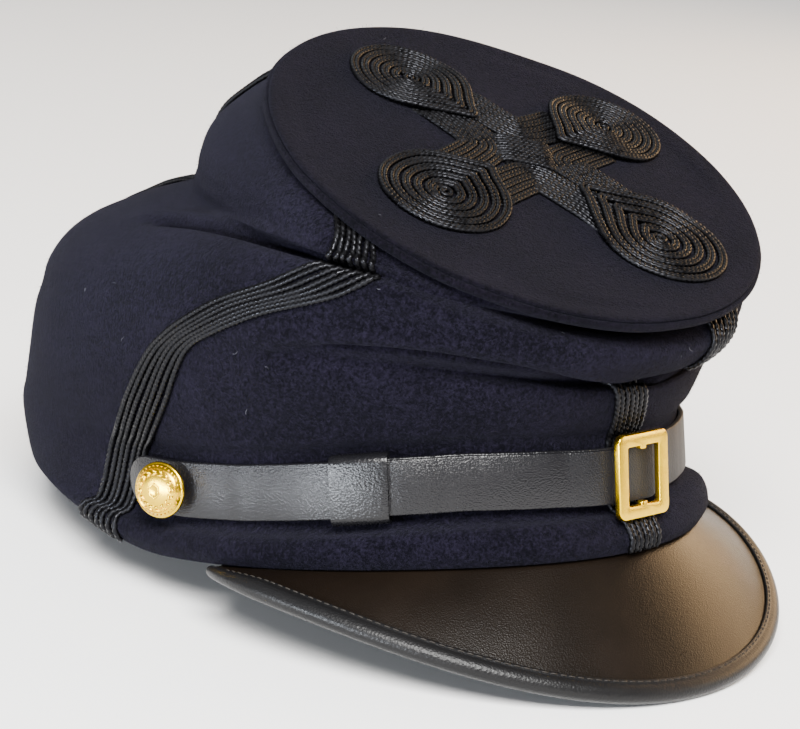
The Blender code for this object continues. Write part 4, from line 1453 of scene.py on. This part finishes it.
def centre_cords():
    """Short bands that fill the knot's middle, one over the other."""
    run = np.linspace(-CENTRE_HALF, CENTRE_HALF, 60)
    dive = eased(np.abs(run), 5.0, 12.0)
    cords = []
    for degrees, rise in CENTRE_BANDS:
        turn = math.radians(degrees)
        ahead = np.array((math.sin(turn), math.cos(turn)))
        aside = np.array((math.cos(turn), -math.sin(turn)))
        height = KNOT_FOOT + 0.5 + rise * (1 - dive) - ARM_DIVE * dive
        for number, rib in RIBS:
            pitch = CENTRE_PITCH + 0.3 * (run / CENTRE_HALF) ** 2
            bow = (number - (PASSES - 1) / 2) * pitch + rib * RIB_APART
            line = KNOT_MIDDLE + ahead * run[:, None] + aside * bow[:, None]
            cords.append(knot_cord(line, height, number + rib))
    return cords


def make_knot():
    """A piece for each lobe with the arm before it. The first has the knot's middle too."""
    for index, lobe in enumerate(LOBES):
        cords = lobe_cords(lobe) + arm_cords(LOBES[index - 1], lobe)
        nodes = ["knot_lobe_" + lobe[0]]
        if index == 0:
            nodes.append("knot_centre")
            cords += centre_cords()
        piece = cords_piece("knot_cords_" + lobe[0], cords, braid)
        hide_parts(*nodes)


# ---------------------------------------------------------------- nap


CROWN_FIBRES = 34000
DISC_FIBRES = 6500
FIBRE_WIDTH = 0.045
FLOOR_CLEAR = 0.2
RIM_SHARE = 0.25
HAIRS = 60


def spikes(name, points, directions, length):
    """Short stiff fibres of the napped wool, each a thin three-sided spike."""
    aside = unit(np.cross(directions, np.array((0.31, 0.52, 0.80))))
    foot = circle(aside[:, None], np.cross(directions, aside)[:, None], 3) * FIBRE_WIDTH
    tips = points + directions * length[:, None]
    vertices = np.concatenate([points[:, None] + foot, tips[:, None]], 1)
    first = np.arange(len(points))[:, None, None] * 4
    faces = first + np.array(((0, 1, 3), (1, 2, 3), (2, 0, 3), (2, 1, 0)))
    faces = faces.reshape(-1, 3).tolist()
    new_piece(name, in_place(vertices), faces, fuzz, 180.0)


def crown_nap(rng):
    """Fibres all over the crown, as dense everywhere, and none that would reach below it."""
    tries = CROWN_FIBRES * 2
    place = rng.uniform(0.15, 17.9, tries)
    angle = rng.uniform(-math.pi, math.pi, tries)
    here = crown(place, angle)
    above = crown(np.minimum(place + 0.1, SEAT), angle) - here
    beside = crown(place, angle + 0.02) - here
    area = np.linalg.norm(np.cross(above, beside), axis=-1)
    keep = rng.uniform(0, np.quantile(area, 0.98), tries) < area
    place, angle = place[keep][:CROWN_FIBRES], angle[keep][:CROWN_FIBRES]
    points, normal = skin(place, angle)
    lean = unit(normal * 0.75 + rng.normal(0, 0.6, normal.shape) - (0, 0, 0.35))
    length = rng.uniform(0.5, 1.3, len(points))
    tips = points + lean * length[:, None]
    clear = tips[:, 2] > floor_under(tips) + FLOOR_CLEAR
    spikes("crown_nap", (points - normal * 0.1)[clear], lean[clear], length[clear])


def disc_nap(rng):
    """Fibres on the disc, a share of them on its rim."""
    radius = np.sqrt(rng.uniform(0, 1, DISC_FIBRES))
    turn = rng.uniform(-math.pi, math.pi, DISC_FIBRES)
    near = rng.uniform(0, 1, DISC_FIBRES) < RIM_SHARE
    inset = np.where(near, rng.uniform(0, 2.5, DISC_FIBRES), (1 - radius) * 70)
    height = np.where(near, np.interp(inset, (0, 0.7, 1.5, 2.5), (-0.4, 0.8, 0.6, 1.4)), 1.35)
    points = disc_edge(turn, inset, height)
    lean = unit(DISC_UP * 0.8 + rng.normal(0, 0.6, points.shape))
    edge = unit(disc_edge(turn, np.zeros(DISC_FIBRES), 0.0) - DISC_CENTRE)
    lean = np.where(near[:, None], unit(lean * 0.5 + edge), lean)
    spikes("disc_nap", points, lean, rng.uniform(0.4, 1.1, DISC_FIBRES))


def make_nap():
    rng = np.random.default_rng(7)
    crown_nap(rng)
    disc_nap(rng)


def make_lint():
    """A few pale curved hairs caught on the wool."""
    rng = np.random.default_rng(21)
    hairs = []
    for number in range(HAIRS):
        if number % 3:
            place, angle = rng.uniform(5, 12), rng.uniform(-math.pi, math.pi)
            spot, normal = skin(np.array([place]), np.array([angle]))
            spot, normal = spot[0], normal[0]
        else:
            spot = disc_edge(np.array(rng.uniform(-math.pi, math.pi)), rng.uniform(8, 60), 1.45)
            normal = DISC_UP
        aside = unit(np.cross(normal, rng.normal(0, 1, 3)))
        other = np.cross(normal, aside)
        run = np.linspace(-1, 1, 7)[:, None] * rng.uniform(0.35, 1.1)
        bow = rng.uniform(0.1, 0.5)
        line = spot + aside * run + other * bow * run**2 + normal * (0.35 + 0.12 * np.sin(3 * run))
        ring = circle(other, normal, 4)
        hairs.append(line[:, None] + ring * rng.uniform(0.035, 0.06))
    cords_piece("lint", hairs, lint)


# ---------------------------------------------------------------- light and camera


# The photograph's view in the cap's own frame, with its angles in degrees and its lens in
# millimetres.
VIEW_FROM = (-44.31, 8.373)
VIEW_ROLL = -0.889
VIEW_TARGET = Vector((13.011, 5.436, 40.699))
VIEW_DISTANCE = 800.0
VIEW_LENS = 115.38
VIEW_SENSOR = 36.0

# Each soft box: azimuth, elevation, then distance, width and height in metres, power and colour.
LIGHTS = {
    "left_box": (-88, 1, 1.6, 1.1, 0.16, 58, (0.86, 0.92, 1.0)),
    "warm_box": (84, 19, 1.5, 1.4, 0.6, 25, (1.0, 0.64, 0.32)),
    "right_box": (46, 12, 1.8, 0.5, 0.4, 7, (1.0, 0.90, 0.74)),
    "front_box": (-41, 42, 2.2, 1.3, 0.9, 245, (1.0, 0.99, 0.97)),
    "back_box": (150, 55, 2.2, 1.4, 1.2, 12, (0.90, 0.95, 1.0)),
}
LIGHTS_AIM = Vector((0, 0, 0.06))
SKY_STRENGTH = 0.30


def seen_from(azimuth, elevation):
    """The direction towards a viewer or a lamp. Azimuth 0 is in front, and both are in degrees."""
    turn, rise = math.radians(azimuth), math.radians(elevation)
    return Vector((
        math.sin(turn) * math.cos(rise), -math.cos(turn) * math.cos(rise), math.sin(rise)
    ))


def soft_box(name, azimuth, elevation, distance, width, height, power, colour):
    data = bpy.data.lights.new(name, "AREA")
    data.shape = "RECTANGLE"
    data.size = width
    data.size_y = height
    data.energy = power
    data.color = colour
    lamp = added(name, data)
    back = seen_from(azimuth, elevation)
    lamp.location = LIGHTS_AIM + back * distance
    lamp.rotation_euler = (-back).to_track_quat("-Z", "Y").to_euler()


def make_camera():
    data = bpy.data.cameras.new("view")
    data.lens = VIEW_LENS
    data.sensor_width = VIEW_SENSOR
    data.clip_start = 0.05
    data.clip_end = 60.0
    camera = added("view", data)
    back = seen_from(*VIEW_FROM)
    level = (-back).cross(Vector((0, 0, 1))).normalized()
    lofty = level.cross(-back)
    roll = math.radians(VIEW_ROLL)
    right = level * math.cos(roll) + lofty * math.sin(roll)
    upward = lofty * math.cos(roll) - level * math.sin(roll)
    turn = Matrix((right, upward, back)).transposed()
    camera.rotation_euler = (Matrix.Rotation(-TILT, 3, "X") @ turn).to_euler()
    camera.location = CAP @ (VIEW_TARGET + back * VIEW_DISTANCE)
    bpy.context.scene.camera = camera


def make_floor():
    fresh()
    bpy.ops.mesh.primitive_plane_add(size=14.0)
    floor = bpy.context.object
    floor.name = "pale_floor"
    pale = Finish("pale_floor").set(
        Base_Color=(0.93, 0.93, 0.93, 1), Roughness=0.9, Specular_IOR_Level=0.1
    )
    floor.data.materials.append(pale)


def make_light():
    world = bpy.data.worlds.new("studio")
    bpy.context.scene.world = world
    world.use_nodes = True
    sky = world.node_tree.nodes["Background"]
    sky.inputs["Color"].default_value = (1.0, 1.0, 1.0, 1)
    sky.inputs["Strength"].default_value = SKY_STRENGTH
    for name, row in LIGHTS.items():
        soft_box(name, *row)


make_camera()
make_floor()
make_light()
make_crown()
make_disc()
make_visor()
make_binding()
make_stitches()
make_straps()
make_keeper()
make_buckle()
make_buttons()
for node, table in BRAIDS.items():
    make_braid(node, table)
make_knot()
make_nap()
make_lint()
